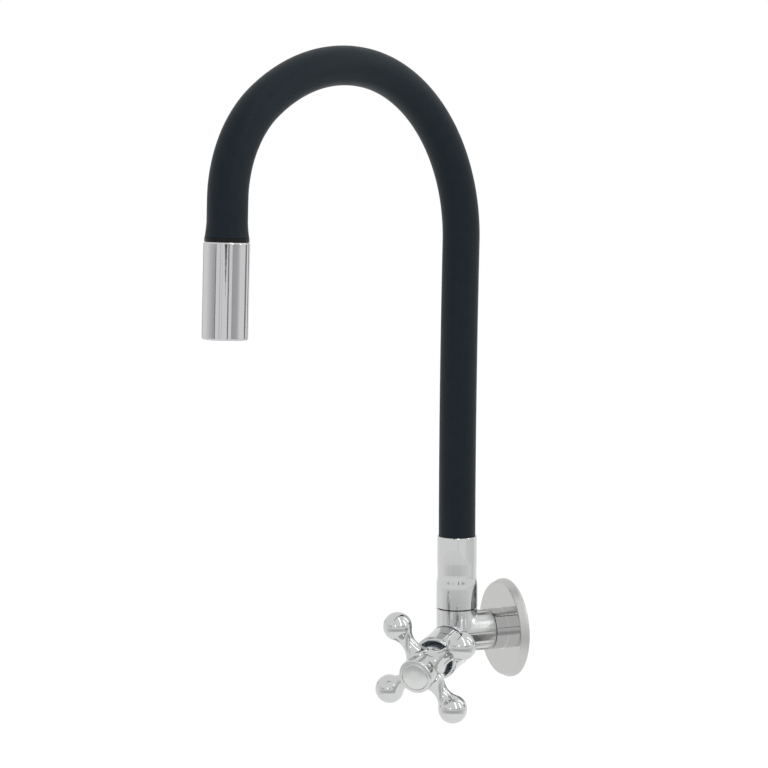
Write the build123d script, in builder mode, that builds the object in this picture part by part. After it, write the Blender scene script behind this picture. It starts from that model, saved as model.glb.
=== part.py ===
from build123d import *
from math import cos, degrees, radians, sin, sqrt
import os

# Flexible wall faucet: a quarter turn valve on a wall flange, with a cross handle
# and a gooseneck hose spout that is bent by hand and stays where it is put.
# Millimetres. The origin is the inlet axis in the wall's face. +Y runs into the
# wall, +Z is up, and +X is the side that the handle points to.

# Driving dimensions: wall side
FLANGE_RADIUS = 27.1
FLANGE_DEPTH = 4.7
FLANGE_SHEET = 1.0
FLANGE_BEVEL = 1.5
FLANGE_RIM = 1.3
FLANGE_ROUND = 0.8
COLLAR_RADIUS = 11.3
COLLAR_LENGTH = 6.9
STUB_RADIUS = 10.48
STUB_LENGTH = 7.0
STUB_UNDERCUT = 0.3
THREAD_RUN_IN = 1.0
INLET_BORE_RADIUS = 5.5
INLET_BORE_STOP = 2.0

# Driving dimensions: valve body
BODY_REACH = 31.0
NECK_RADIUS = 11.2
NECK_TOP = 13.5
NECK_EDGE = 1.0
TAIL_BORE_RADIUS = 7.6
TAIL_LEDGE = 1.0
BONNET_DROP = 4.2
BONNET_SIDE_ANGLE = 40.4
BONNET_DOWN_ANGLE = 9.8
BOSS_LENGTH = 12.0
NOSE_WALL = 1.6
NOSE_LENGTH = 7.0
SEAT_OFFSET = 3.0
SEAT_PORT_RADIUS = 3.5

# Driving dimensions: ceramic cartridge
SEAL_THICKNESS = 1.2
SEAL_LAND = 1.0
DISC_RADIUS = 6.8
DISC_THICKNESS = 2.6
PORT_INNER_RADIUS = 1.8
PORT_LAND = 1.2
PORT_ANGLE = 76.0
HOUSING_WALL = 1.3
WINDOW_HEIGHT = 4.5
WINDOW_WIDTH = 6.0
SPINDLE_RADIUS = 4.0
SPINDLE_FOOT_THICKNESS = 2.0
TANG_WIDTH = 3.6
TANG_DEPTH = 1.0
GLAND_RADIUS = 6.4
GLAND_LENGTH = 4.0
HOUSING_FLANGE_STEP = 0.6
HOUSING_FLATS = 6
HOUSING_FLANGE_THICKNESS = 2.4
RING_GROOVE_DEPTH = 1.3
RING_GROOVE_WIDTH = 1.8
SPINDLE_RING_PITCH = 3.0
RING_SIDES = 8
CLIP_THICKNESS = 1.0
CLIP_REACH = 1.5
CLIP_MOUTH = 6.0
SPINDLE_PASS = 2.5
SPLINE_COUNT = 12
SPLINE_GROOVE = 0.35
NOSE_REBATE = 0.9

# Driving dimensions: shroud and handle
SHROUD_RADIUS = 12.15
SHROUD_LENGTH = 17.4
SHROUD_MOUTH_RADIUS = 10.5
SHROUD_LIP = 1.3
SHROUD_SEAM = 0.9
HUB_RADIUS = 8.7
HUB_TUCK = 3.0
HUB_HOLLOW_RADIUS = 7.3
HUB_HOLLOW_DEPTH = 4.0
HUB_WAIST = 0.6
HUB_WAIST_DROP = 3.0
CROSS_RISE = 12.4
RING_RADIUS = 9.1
RING_RISE = 4.5
RING_LENGTH = 7.2
RING_EDGE = 0.5
CAP_RADIUS = 7.9
CAP_DEPTH = 5.2
CAP_RISE = 0.5
CAP_WALL = 1.2
CAP_HOLLOW = 2.0
ARM_COUNT = 4
ARM_ROLL = 33.2
ARM_REACH = 26.4
BALL_RADIUS = 7.8
ARM_NECK_RADIUS = 3.9
ARM_NECK_REACH = 15.8
ARM_FLARE_RADIUS = 11.0
ARM_ROOT_REACH = 8.0
SCREW_RADIUS = 2.0
SCREW_HEAD_RADIUS = 3.9
SCREW_HEAD_HEIGHT = 2.6
SCREW_RECESS = 1.8
SCREW_HOLE_DEPTH = 11.0
SCREW_TIP_GAP = 2.0

# Driving dimensions: spout base
TAIL_FLANGE_RADIUS = 9.3
TAIL_FLANGE_LENGTH = 12.0
WASHER_THICKNESS = 0.5
RETAINER_WIRE = 1.3
RETAINER_DROP = 2.6
FERRULE_LENGTH = 39.5
FERRULE_RADIUS = 10.85
FERRULE_WAIST_RADIUS = 10.7
FERRULE_BULGE_RADIUS = 11.25
FERRULE_BULGE_RISE = 11.0
FERRULE_THREAD_RISE = 16.0
FERRULE_WAIST_RISE = 19.0
FERRULE_TAPER_RISE = 25.0
FERRULE_EASE = 3.5
SWIVEL_SEAM = 0.5

# Driving dimensions: gooseneck hose
SLEEVE_RADIUS = 10.0
SLEEVE_WALL = 1.3
CORE_SPACE = 1.0
BELL_SPACE = 0.5
BELL_WALL = 0.6
BELL_RIM = 2.0
BELL_LENGTH = 8.0
BALL_DEPTH = 4.2
LINK_NECK_WALL = 0.8
LINK_NECK_LENGTH = 6.0
WATER_HOSE_RADIUS = 5.3
WATER_HOSE_WALL = 1.5
BARB_LENGTH = 18.0
BARB_WALL = 0.9
BARB_TAPER = 0.4
BARB_TAPER_LENGTH = 1.0
CRIMP_LENGTH = 11.0
CRIMP_WALL = 0.85
HOSE_SIDE_ANGLE = 24.7
RISE_LENGTH = 3.0
BENDS = ((-4808.0, -1.87), (89.4, 83.8), (103.5, 43.2), (59.85, 52.65))
LEG_LENGTH = 20.5
LINK_COUNT = 10
LINK_END_SPACE = 1.0
LEAST_STRETCH = 0.01

# Driving dimensions: nozzle
NOZZLE_RADIUS = 11.4
NOZZLE_LENGTH = 47.3
NOZZLE_WALL = 1.2
NOZZLE_CAP_THICKNESS = 3.0
NOZZLE_EDGE = 0.9
GASKET_THICKNESS = 2.0
GASKET_RADIUS = 10.95
FLARE_RADIUS = 10.8
FLARE_LENGTH = 8.0
CONNECTOR_FLANGE = 2.8
CONNECTOR_COLLAR = 4.0
AERATOR_RECESS = 1.8
AERATOR_LENGTH = 8.5
AERATOR_WALL = 1.3
HONEYCOMB_THICKNESS = 2.5
HONEYCOMB_CELL = 1.05
HONEYCOMB_WEB = 0.55
HONEYCOMB_ROWS = 7
SCREEN_THICKNESS = 0.6
SCREEN_HOLE = 1.6
SCREEN_PITCH = 2.4
SCREEN_ROWS = 5
WASHER_HEIGHT = 2.0

# Fits and running gaps, and how far shapes that join or cut run past one another
SLIDE_FIT = 0.1
RUNNING_FIT = 0.05
SEAT_GAP = 0.1
SOFT_GAP = 0.3
PASS = 1.0

os.makedirs("parts", exist_ok=True)


def finish(node, name):
    """Label a finished sub-part and write it to its own file."""
    node.part.label = name
    export_step(node.part, f"parts/{name}.step")


# Axes and section planes. A section plane's x is a radius and its y runs along
# the axis that the sub-part is turned about.
spout_foot = Vector(0, -BODY_REACH, 0)
spout_axis = Axis(spout_foot, (0, 0, 1))
spout_section = Plane(spout_foot, x_dir=(1, 0, 0), z_dir=(0, -1, 0))

side = radians(BONNET_SIDE_ANGLE)
down = radians(BONNET_DOWN_ANGLE)
bonnet_dir = Vector(sin(side) * cos(down), -cos(side) * cos(down), -sin(down))
bonnet_cross = bonnet_dir.cross(Vector(0, 0, 1)).normalized()
bonnet_foot = spout_foot - Vector(0, 0, BONNET_DROP)
bonnet_axis = Axis(bonnet_foot, bonnet_dir)
bonnet_section = Plane(
    bonnet_foot, x_dir=bonnet_cross, z_dir=bonnet_cross.cross(bonnet_dir)
)


def bonnet_plane(offset):
    """The plane square to the bonnet axis, at an offset along it."""
    return Plane(
        bonnet_foot + bonnet_dir * offset, x_dir=bonnet_cross, z_dir=bonnet_dir
    )


# Wall flange: one pressed sheet, open at the back
flange_front = -FLANGE_DEPTH
collar_front = flange_front - COLLAR_LENGTH
with BuildPart() as wall_flange:
    with BuildSketch(Plane.XY):
        with BuildLine():
            Polyline(
                (COLLAR_RADIUS, collar_front),
                (COLLAR_RADIUS, flange_front),
                (FLANGE_RADIUS - FLANGE_BEVEL, flange_front),
                (FLANGE_RADIUS, -FLANGE_RIM),
                (FLANGE_RADIUS, 0),
                (FLANGE_RADIUS - FLANGE_SHEET, 0),
                (FLANGE_RADIUS - FLANGE_SHEET, -FLANGE_RIM),
                (FLANGE_RADIUS - FLANGE_BEVEL - FLANGE_SHEET, flange_front + FLANGE_SHEET),
                (STUB_RADIUS + SLIDE_FIT, flange_front + FLANGE_SHEET),
                (STUB_RADIUS + SLIDE_FIT, collar_front),
                close=True,
            )
        make_face()
    revolve(axis=Axis.Y)
    front_edge = wall_flange.edges().filter_by(GeomType.CIRCLE).group_by(Axis.Y)[1]
    fillet(front_edge.sort_by(SortBy.LENGTH)[-1], FLANGE_ROUND)
finish(wall_flange, "wall_flange")

# Valve body: inlet neck, upright neck and bonnet boss in one casting
housing_bore = DISC_RADIUS + SLIDE_FIT
housing_radius = housing_bore + HOUSING_WALL
chamber_radius = housing_radius + SLIDE_FIT
nose_radius = chamber_radius + NOSE_WALL
nose_end = BOSS_LENGTH + NOSE_LENGTH
tail_foot = chamber_radius - BONNET_DROP + SEAT_GAP
seat_centre = bonnet_foot - bonnet_dir * SEAT_OFFSET
bore_end = BODY_REACH - TAIL_BORE_RADIUS - INLET_BORE_STOP
retainer_height = NECK_TOP - RETAINER_DROP
with BuildPart() as valve_body:
    with BuildSketch(Plane.XZ.offset(-collar_front)):
        Circle(NECK_RADIUS)
    extrude(amount=BODY_REACH + collar_front)
    fillet(valve_body.edges().sort_by(Axis.Y)[-1], NECK_EDGE)
    with BuildSketch(Plane.XZ.offset(-collar_front)):
        Circle(STUB_RADIUS - STUB_UNDERCUT)
    extrude(amount=-(STUB_LENGTH - collar_front))
    with BuildSketch(Plane.XZ.offset(THREAD_RUN_IN)):
        Circle(STUB_RADIUS)
    extrude(amount=-(STUB_LENGTH + THREAD_RUN_IN))
    with BuildSketch(Plane(spout_foot)):
        Circle(NECK_RADIUS)
    extrude(amount=NECK_TOP)
    with BuildSketch(bonnet_section):
        with BuildLine():
            Polyline(
                (0, 0),
                (NECK_RADIUS, 0),
                (SHROUD_RADIUS, BOSS_LENGTH - SHROUD_SEAM),
                (SHROUD_RADIUS - SHROUD_SEAM, BOSS_LENGTH),
                (0, BOSS_LENGTH),
                close=True,
            )
        make_face()
    revolve(axis=bonnet_axis)
    with BuildSketch(bonnet_plane(BOSS_LENGTH)):
        Circle(nose_radius)
    extrude(amount=NOSE_LENGTH)
    with Locations(spout_foot, bonnet_foot):
        Sphere(NECK_RADIUS)
    with BuildSketch(Plane(spout_foot + Vector(0, 0, NECK_TOP))):
        Circle(TAIL_BORE_RADIUS)
    extrude(amount=tail_foot - SOFT_GAP - NECK_TOP, mode=Mode.SUBTRACT)
    with BuildSketch(Plane(spout_foot + Vector(0, 0, tail_foot))):
        Circle(TAIL_BORE_RADIUS - TAIL_LEDGE)
    extrude(amount=-tail_foot, mode=Mode.SUBTRACT)
    with BuildSketch(Plane(spout_foot + Vector(0, 0, retainer_height))):
        Circle(TAIL_BORE_RADIUS + RETAINER_WIRE / 2)
    extrude(amount=RETAINER_WIRE / 2 + SLIDE_FIT, both=True, mode=Mode.SUBTRACT)
    with BuildSketch(bonnet_plane(nose_end)):
        Circle(chamber_radius)
    extrude(amount=-(nose_end + SEAT_OFFSET), mode=Mode.SUBTRACT)
    with BuildSketch(bonnet_plane(nose_end)):
        Circle(chamber_radius + NOSE_REBATE)
    extrude(amount=-NOSE_REBATE, mode=Mode.SUBTRACT)
    with BuildSketch(Plane.XZ.offset(-STUB_LENGTH)):
        Circle(INLET_BORE_RADIUS)
    extrude(amount=STUB_LENGTH + bore_end, mode=Mode.SUBTRACT)
    with BuildSketch(Plane(seat_centre, x_dir=(1, 0, 0), z_dir=(0, 1, 0))):
        Circle(SEAT_PORT_RADIUS)
    extrude(amount=-seat_centre.Y - bore_end + PASS, mode=Mode.SUBTRACT)
finish(valve_body, "valve_body")

# Cartridge: a brass housing with two ceramic discs, turned by a spindle
seal_front = SEAL_THICKNESS - SEAT_OFFSET
fixed_start = seal_front + SEAT_GAP
moving_start = fixed_start + DISC_THICKNESS
foot_start = moving_start + DISC_THICKNESS + SEAT_GAP
stem_start = foot_start + SPINDLE_FOOT_THICKNESS
housing_flange_radius = nose_radius - HOUSING_FLANGE_STEP
stem_bore = SPINDLE_RADIUS + RUNNING_FIT
gland_end = nose_end + SEAT_GAP + HOUSING_FLANGE_THICKNESS + GLAND_LENGTH
seat_gland_start = stem_start + SOFT_GAP
spindle_ring_places = [seat_gland_start + SPINDLE_RING_PITCH * i for i in (1, 2)]
ring_wire = RING_GROOVE_DEPTH / 2 - RUNNING_FIT

with BuildPart() as seat_seal:
    with BuildSketch(bonnet_plane(SEAT_GAP - SEAT_OFFSET)):
        Circle(housing_bore)
        Circle(SEAT_PORT_RADIUS + SEAL_LAND, mode=Mode.SUBTRACT)
    extrude(amount=SEAL_THICKNESS - SEAT_GAP)
finish(seat_seal, "seat_seal")


def sector_ports(turn):
    """Cut two opposite sector ports through a ceramic disc, turned by an angle."""
    for middle in (turn, turn + 180):
        start = middle - PORT_ANGLE / 2
        with BuildLine() as outline:
            inner = CenterArc((0, 0), PORT_INNER_RADIUS, start, PORT_ANGLE)
            outer = CenterArc((0, 0), DISC_RADIUS - PORT_LAND, start, PORT_ANGLE)
            Line(inner @ 0, outer @ 0)
            Line(inner @ 1, outer @ 1)
        make_face(outline.edges(), mode=Mode.SUBTRACT)


with BuildPart() as fixed_ceramic_disc:
    with BuildSketch(bonnet_plane(fixed_start)):
        Circle(DISC_RADIUS)
        sector_ports(0)
    extrude(amount=DISC_THICKNESS)
finish(fixed_ceramic_disc, "fixed_ceramic_disc")

# The moving disc has a cross slot on its back for the spindle's tang.
with BuildPart() as moving_ceramic_disc:
    with BuildSketch(bonnet_plane(moving_start)):
        Circle(DISC_RADIUS - SLIDE_FIT)
        sector_ports(90)
    extrude(amount=DISC_THICKNESS)
    with BuildSketch(bonnet_plane(moving_start + DISC_THICKNESS)):
        Rectangle(2 * DISC_RADIUS, TANG_WIDTH + 2 * SLIDE_FIT)
    extrude(amount=-TANG_DEPTH - SEAT_GAP, mode=Mode.SUBTRACT)
finish(moving_ceramic_disc, "moving_ceramic_disc")

# The housing is open at the discs' side windows, where the water leaves.
with BuildPart() as cartridge_housing:
    with BuildSketch(bonnet_section):
        with BuildLine():
            Polyline(
                (housing_bore, fixed_start),
                (housing_radius, fixed_start),
                (housing_radius, nose_end + SEAT_GAP),
                (housing_flange_radius, nose_end + SEAT_GAP),
                (housing_flange_radius, gland_end - GLAND_LENGTH),
                (GLAND_RADIUS, gland_end - GLAND_LENGTH),
                (GLAND_RADIUS, gland_end),
                (stem_bore, gland_end),
                (stem_bore, seat_gland_start),
                (housing_bore, seat_gland_start),
                close=True,
            )
        make_face()
    revolve(axis=bonnet_axis)
    with BuildSketch(bonnet_plane(foot_start)):
        Rectangle(2 * housing_radius + PASS, WINDOW_WIDTH)
        Rectangle(WINDOW_WIDTH, 2 * housing_radius + PASS)
    extrude(amount=-WINDOW_HEIGHT, mode=Mode.SUBTRACT)
    with Locations(bonnet_plane(gland_end - GLAND_LENGTH)):
        with PolarLocations(housing_flange_radius, HOUSING_FLATS):
            Box(
                HOUSING_WALL,
                housing_flange_radius,
                2 * HOUSING_FLANGE_THICKNESS,
                mode=Mode.SUBTRACT,
            )
finish(cartridge_housing, "cartridge_housing")

shroud_end = BOSS_LENGTH + SHROUD_LENGTH
cross_place = shroud_end + CROSS_RISE
spindle_end = cross_place + SPINDLE_PASS
clip_start = gland_end + SEAT_GAP
spline_start = clip_start + 2 * CLIP_THICKNESS
with BuildPart() as spindle:
    with BuildSketch(bonnet_section):
        with BuildLine():
            Polyline(
                (0, foot_start),
                (DISC_RADIUS - SOFT_GAP, foot_start),
                (DISC_RADIUS - SOFT_GAP, stem_start),
                (SPINDLE_RADIUS, stem_start),
                (SPINDLE_RADIUS, spindle_end),
                (0, spindle_end),
                close=True,
            )
        make_face()
    revolve(axis=bonnet_axis)
    with BuildSketch(bonnet_plane(foot_start)):
        Rectangle(2 * (DISC_RADIUS - 2 * SOFT_GAP), TANG_WIDTH)
    extrude(amount=-TANG_DEPTH)
    for place in spindle_ring_places:
        with BuildSketch(bonnet_plane(place)):
            Circle(SPINDLE_RADIUS + SLIDE_FIT)
            Circle(SPINDLE_RADIUS - RING_GROOVE_DEPTH, mode=Mode.SUBTRACT)
        extrude(amount=RING_GROOVE_WIDTH / 2, both=True, mode=Mode.SUBTRACT)
    with BuildSketch(bonnet_plane(clip_start)):
        Circle(SPINDLE_RADIUS + SLIDE_FIT)
        Circle(SPINDLE_RADIUS - CLIP_THICKNESS, mode=Mode.SUBTRACT)
    extrude(amount=CLIP_THICKNESS + SLIDE_FIT, mode=Mode.SUBTRACT)
    with BuildSketch(bonnet_plane(spindle_end)):
        Circle(SCREW_RADIUS + SLIDE_FIT)
    extrude(amount=-SCREW_HOLE_DEPTH, mode=Mode.SUBTRACT)
    with BuildSketch(bonnet_plane(spline_start)):
        with PolarLocations(SPINDLE_RADIUS, SPLINE_COUNT):
            Circle(SPLINE_GROOVE)
    extrude(amount=spindle_end - spline_start, mode=Mode.SUBTRACT)
finish(spindle, "spindle")

# The seal rings are small and hidden, so eight sides make their section.
with BuildPart() as spindle_o_rings:
    with BuildSketch(bonnet_section):
        for place in spindle_ring_places:
            with Locations((SPINDLE_RADIUS - RING_GROOVE_DEPTH / 2, place)):
                RegularPolygon(ring_wire, RING_SIDES)
    revolve(axis=bonnet_axis)
finish(spindle_o_rings, "spindle_o_rings")

with BuildPart() as spindle_clip:
    with BuildSketch(bonnet_plane(clip_start + SLIDE_FIT / 2)):
        Circle(SPINDLE_RADIUS + CLIP_REACH)
        Circle(SPINDLE_RADIUS - CLIP_THICKNESS + SLIDE_FIT, mode=Mode.SUBTRACT)
        with Locations((SPINDLE_RADIUS, 0)):
            Rectangle(2 * SPINDLE_RADIUS, CLIP_MOUTH, mode=Mode.SUBTRACT)
    extrude(amount=CLIP_THICKNESS)
finish(spindle_clip, "spindle_clip")

with BuildPart() as bonnet_o_ring:
    with BuildSketch(bonnet_plane(nose_end - NOSE_REBATE)):
        Circle(chamber_radius + NOSE_REBATE - SLIDE_FIT)
        Circle(housing_radius + SLIDE_FIT / 2, mode=Mode.SUBTRACT)
    extrude(amount=NOSE_REBATE)
finish(bonnet_o_ring, "bonnet_o_ring")

# Shroud: a barrel screwed over the nose, with a thick rounded lip
with BuildPart() as bonnet_shroud:
    with BuildSketch(bonnet_section):
        with BuildLine():
            Polyline(
                (nose_radius + SLIDE_FIT, BOSS_LENGTH + SEAT_GAP),
                (SHROUD_RADIUS - SHROUD_SEAM, BOSS_LENGTH + SEAT_GAP),
                (SHROUD_RADIUS, BOSS_LENGTH + SEAT_GAP + SHROUD_SEAM),
                (SHROUD_RADIUS, shroud_end - SHROUD_LIP),
            )
            RadiusArc(
                (SHROUD_RADIUS, shroud_end - SHROUD_LIP),
                (SHROUD_RADIUS - SHROUD_LIP, shroud_end),
                SHROUD_LIP,
            )
            Polyline(
                (SHROUD_RADIUS - SHROUD_LIP, shroud_end),
                (SHROUD_MOUTH_RADIUS + SEAT_GAP, shroud_end),
                (SHROUD_MOUTH_RADIUS, shroud_end - SEAT_GAP),
                (SHROUD_MOUTH_RADIUS, gland_end - GLAND_LENGTH + SEAT_GAP),
                (nose_radius + SLIDE_FIT, gland_end - GLAND_LENGTH),
                (nose_radius + SLIDE_FIT, BOSS_LENGTH + SEAT_GAP),
            )
        make_face()
    revolve(axis=bonnet_axis)
finish(bonnet_shroud, "bonnet_shroud")

# Cross handle: a hub with a front ring, and four arms that flare from the hub,
# narrow to a neck and end in balls
neck_blend = (
    (ARM_REACH - ARM_NECK_REACH) ** 2 + ARM_NECK_RADIUS**2 - BALL_RADIUS**2
) / (2 * (BALL_RADIUS - ARM_NECK_RADIUS))
blend_share = BALL_RADIUS / (BALL_RADIUS + neck_blend)
blend_point = (
    ARM_REACH - (ARM_REACH - ARM_NECK_REACH) * blend_share,
    (ARM_NECK_RADIUS + neck_blend) * blend_share,
)
root_drop = sqrt(ARM_FLARE_RADIUS**2 - (ARM_NECK_REACH - ARM_ROOT_REACH) ** 2)
arm_root = (ARM_ROOT_REACH, ARM_NECK_RADIUS + ARM_FLARE_RADIUS - root_drop)
hub_start = shroud_end - HUB_TUCK
ring_start = cross_place + RING_RISE
ring_front = ring_start + RING_LENGTH
cap_floor = ring_front - CAP_DEPTH
head_floor = cap_floor - SCREW_HEAD_HEIGHT - SEAT_GAP
with BuildPart() as cross_handle:
    with BuildSketch(bonnet_section):
        with BuildLine():
            Polyline(
                (0, hub_start),
                (HUB_RADIUS, hub_start),
                (HUB_RADIUS, cross_place - BALL_RADIUS),
                (HUB_RADIUS - HUB_WAIST, cross_place - HUB_WAIST_DROP),
                (HUB_RADIUS - HUB_WAIST, ring_start - HUB_WAIST),
                (RING_RADIUS, ring_start),
                (RING_RADIUS, ring_front - RING_EDGE),
                (RING_RADIUS - RING_EDGE, ring_front),
                (0, ring_front),
                close=True,
            )
        make_face()
    revolve(axis=bonnet_axis)
    for arm in range(ARM_COUNT):
        turn = radians(ARM_ROLL + 360 / ARM_COUNT * arm)
        out = bonnet_cross * cos(turn) + bonnet_dir.cross(bonnet_cross) * sin(turn)
        cross_centre = bonnet_foot + bonnet_dir * cross_place
        arm_section = Plane(cross_centre, x_dir=out, z_dir=out.cross(bonnet_dir))
        with BuildSketch(arm_section):
            with BuildLine():
                Line((0, 0), (0, arm_root[1]))
                Line((0, arm_root[1]), arm_root)
                RadiusArc(arm_root, (ARM_NECK_REACH, ARM_NECK_RADIUS), -ARM_FLARE_RADIUS)
                RadiusArc((ARM_NECK_REACH, ARM_NECK_RADIUS), blend_point, -neck_blend)
                ThreePointArc(
                    blend_point, (ARM_REACH, BALL_RADIUS), (ARM_REACH + BALL_RADIUS, 0)
                )
                Line((ARM_REACH + BALL_RADIUS, 0), (0, 0))
            make_face()
        revolve(axis=Axis(cross_centre, out))
    with BuildSketch(bonnet_plane(hub_start)):
        Circle(HUB_HOLLOW_RADIUS)
    extrude(amount=HUB_HOLLOW_DEPTH, mode=Mode.SUBTRACT)
    with BuildSketch(bonnet_plane(hub_start)):
        Circle(SPINDLE_RADIUS + RUNNING_FIT)
    extrude(amount=spindle_end + SEAT_GAP - hub_start, mode=Mode.SUBTRACT)
    with BuildSketch(bonnet_plane(hub_start)):
        Circle(SCREW_RADIUS + SLIDE_FIT)
    extrude(amount=ring_front - hub_start, mode=Mode.SUBTRACT)
    with BuildSketch(bonnet_plane(ring_front)):
        Circle(CAP_RADIUS + SLIDE_FIT)
    extrude(amount=-CAP_DEPTH, mode=Mode.SUBTRACT)
    with BuildSketch(bonnet_plane(cap_floor)):
        Circle(SCREW_HEAD_RADIUS + SLIDE_FIT)
    extrude(amount=-SCREW_HEAD_HEIGHT - SEAT_GAP, mode=Mode.SUBTRACT)
finish(cross_handle, "cross_handle")

screw_tip = spindle_end - SCREW_HOLE_DEPTH + SCREW_TIP_GAP
with BuildPart() as handle_screw:
    with BuildSketch(bonnet_plane(head_floor)):
        Circle(SCREW_HEAD_RADIUS)
    extrude(amount=SCREW_HEAD_HEIGHT)
    with BuildSketch(bonnet_plane(head_floor)):
        Circle(SCREW_RADIUS)
    extrude(amount=screw_tip - head_floor)
    with BuildSketch(bonnet_plane(head_floor + SCREW_HEAD_HEIGHT)):
        RegularPolygon(SCREW_RADIUS, 6)
    extrude(amount=-SCREW_RECESS, mode=Mode.SUBTRACT)
finish(handle_screw, "handle_screw")

with BuildPart() as index_cap:
    with BuildSketch(bonnet_section):
        with BuildLine():
            Polyline(
                (0, cap_floor + CAP_HOLLOW),
                (CAP_RADIUS - CAP_WALL, cap_floor + CAP_HOLLOW),
                (CAP_RADIUS - CAP_WALL, cap_floor + SEAT_GAP),
                (CAP_RADIUS, cap_floor + SEAT_GAP),
                (CAP_RADIUS, ring_front),
                (CAP_RADIUS - CAP_RISE, ring_front + CAP_RISE),
                (0, ring_front + CAP_RISE),
                close=True,
            )
        make_face()
    revolve(axis=bonnet_axis)
finish(index_cap, "index_cap")

# Spout base: a tail that turns in the upright neck, and the ferrule on it
flange_foot = NECK_TOP + WASHER_THICKNESS
flange_top = flange_foot + TAIL_FLANGE_LENGTH
barb_top = flange_top + BARB_LENGTH
barb_radius = WATER_HOSE_RADIUS - WATER_HOSE_WALL - SLIDE_FIT
tail_radius = TAIL_BORE_RADIUS - RUNNING_FIT
tail_ring_pitch = (retainer_height - tail_foot) / 3
tail_ring_places = [tail_foot + tail_ring_pitch * i for i in (1, 2)]
with BuildPart() as spout_tail:
    with BuildSketch(spout_section):
        with BuildLine():
            Polyline(
                (barb_radius - BARB_WALL, tail_foot),
                (tail_radius, tail_foot),
                (tail_radius, flange_foot),
                (TAIL_FLANGE_RADIUS, flange_foot),
                (TAIL_FLANGE_RADIUS, flange_top),
                (barb_radius, flange_top),
                (barb_radius, barb_top - BARB_TAPER_LENGTH),
                (barb_radius - BARB_TAPER, barb_top),
                (barb_radius - BARB_WALL, barb_top),
                close=True,
            )
        make_face()
    revolve(axis=spout_axis)
    for place in tail_ring_places:
        with BuildSketch(Plane(spout_foot + Vector(0, 0, place))):
            Circle(tail_radius + SLIDE_FIT)
            Circle(tail_radius - RING_GROOVE_DEPTH, mode=Mode.SUBTRACT)
        extrude(amount=RING_GROOVE_WIDTH / 2, both=True, mode=Mode.SUBTRACT)
    with BuildSketch(Plane(spout_foot + Vector(0, 0, retainer_height))):
        Circle(tail_radius + SLIDE_FIT)
        Circle(tail_radius - RETAINER_WIRE / 2 - SLIDE_FIT, mode=Mode.SUBTRACT)
    extrude(amount=RETAINER_WIRE / 2 + SLIDE_FIT, both=True, mode=Mode.SUBTRACT)
finish(spout_tail, "spout_tail")

with BuildPart() as spout_o_rings:
    with BuildSketch(spout_section):
        for place in tail_ring_places:
            with Locations((tail_radius - RING_GROOVE_DEPTH / 2, place)):
                RegularPolygon(ring_wire, RING_SIDES)
    revolve(axis=spout_axis)
finish(spout_o_rings, "spout_o_rings")

with BuildPart() as retaining_ring:
    with BuildSketch(Plane(spout_foot + Vector(0, 0, retainer_height))):
        Circle(tail_radius + RETAINER_WIRE / 2 - SLIDE_FIT)
        Circle(tail_radius - RETAINER_WIRE / 2, mode=Mode.SUBTRACT)
        with Locations((-tail_radius, 0)):
            Rectangle(tail_radius, RETAINER_WIRE, mode=Mode.SUBTRACT)
    extrude(amount=RETAINER_WIRE / 2 - SLIDE_FIT, both=True)
finish(retaining_ring, "retaining_ring")

with BuildPart() as slide_washer:
    with BuildSketch(Plane(spout_foot + Vector(0, 0, NECK_TOP + SEAT_GAP))):
        Circle(TAIL_FLANGE_RADIUS)
        Circle(tail_radius + SLIDE_FIT, mode=Mode.SUBTRACT)
    extrude(amount=WASHER_THICKNESS - 2 * SEAT_GAP)
finish(slide_washer, "slide_washer")

ferrule_foot = NECK_TOP + SWIVEL_SEAM
ferrule_lip = ferrule_foot + FERRULE_LENGTH
ferrule_ledge = ferrule_foot + FERRULE_THREAD_RISE
bulge_top = ferrule_foot + FERRULE_BULGE_RISE
waist_height = ferrule_foot + FERRULE_WAIST_RISE
ferrule_thread = TAIL_FLANGE_RADIUS + SLIDE_FIT
with BuildPart() as base_ferrule:
    with BuildSketch(spout_section):
        with BuildLine():
            Polyline(
                (ferrule_thread, ferrule_foot),
                (FERRULE_BULGE_RADIUS - SOFT_GAP, ferrule_foot),
                (FERRULE_BULGE_RADIUS, ferrule_foot + SOFT_GAP),
                (FERRULE_BULGE_RADIUS, bulge_top),
            )
            Bezier(
                (FERRULE_BULGE_RADIUS, bulge_top),
                (FERRULE_BULGE_RADIUS, bulge_top + FERRULE_EASE),
                (FERRULE_WAIST_RADIUS, waist_height - FERRULE_EASE),
                (FERRULE_WAIST_RADIUS, waist_height),
            )
            Polyline(
                (FERRULE_WAIST_RADIUS, waist_height),
                (FERRULE_RADIUS, ferrule_foot + FERRULE_TAPER_RISE),
                (FERRULE_RADIUS, ferrule_lip - SOFT_GAP),
                (FERRULE_RADIUS - SOFT_GAP, ferrule_lip),
                (SLEEVE_RADIUS + SLIDE_FIT, ferrule_lip),
                (SLEEVE_RADIUS + SLIDE_FIT, ferrule_ledge),
                (ferrule_thread, ferrule_ledge),
                (ferrule_thread, ferrule_foot),
            )
        make_face()
    revolve(axis=spout_axis)
finish(base_ferrule, "base_ferrule")

crimp_inner = WATER_HOSE_RADIUS + SLIDE_FIT / 2
crimp_outer = crimp_inner + CRIMP_WALL
crimp_clear_radius = crimp_outer + SLIDE_FIT / 2
base_crimp_start = flange_top + (BARB_LENGTH - CRIMP_LENGTH) / 2
with BuildPart() as base_crimp_ring:
    with BuildSketch(Plane(spout_foot + Vector(0, 0, base_crimp_start))):
        Circle(crimp_outer)
        Circle(crimp_inner, mode=Mode.SUBTRACT)
    extrude(amount=CRIMP_LENGTH)
finish(base_crimp_ring, "base_crimp_ring")

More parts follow.
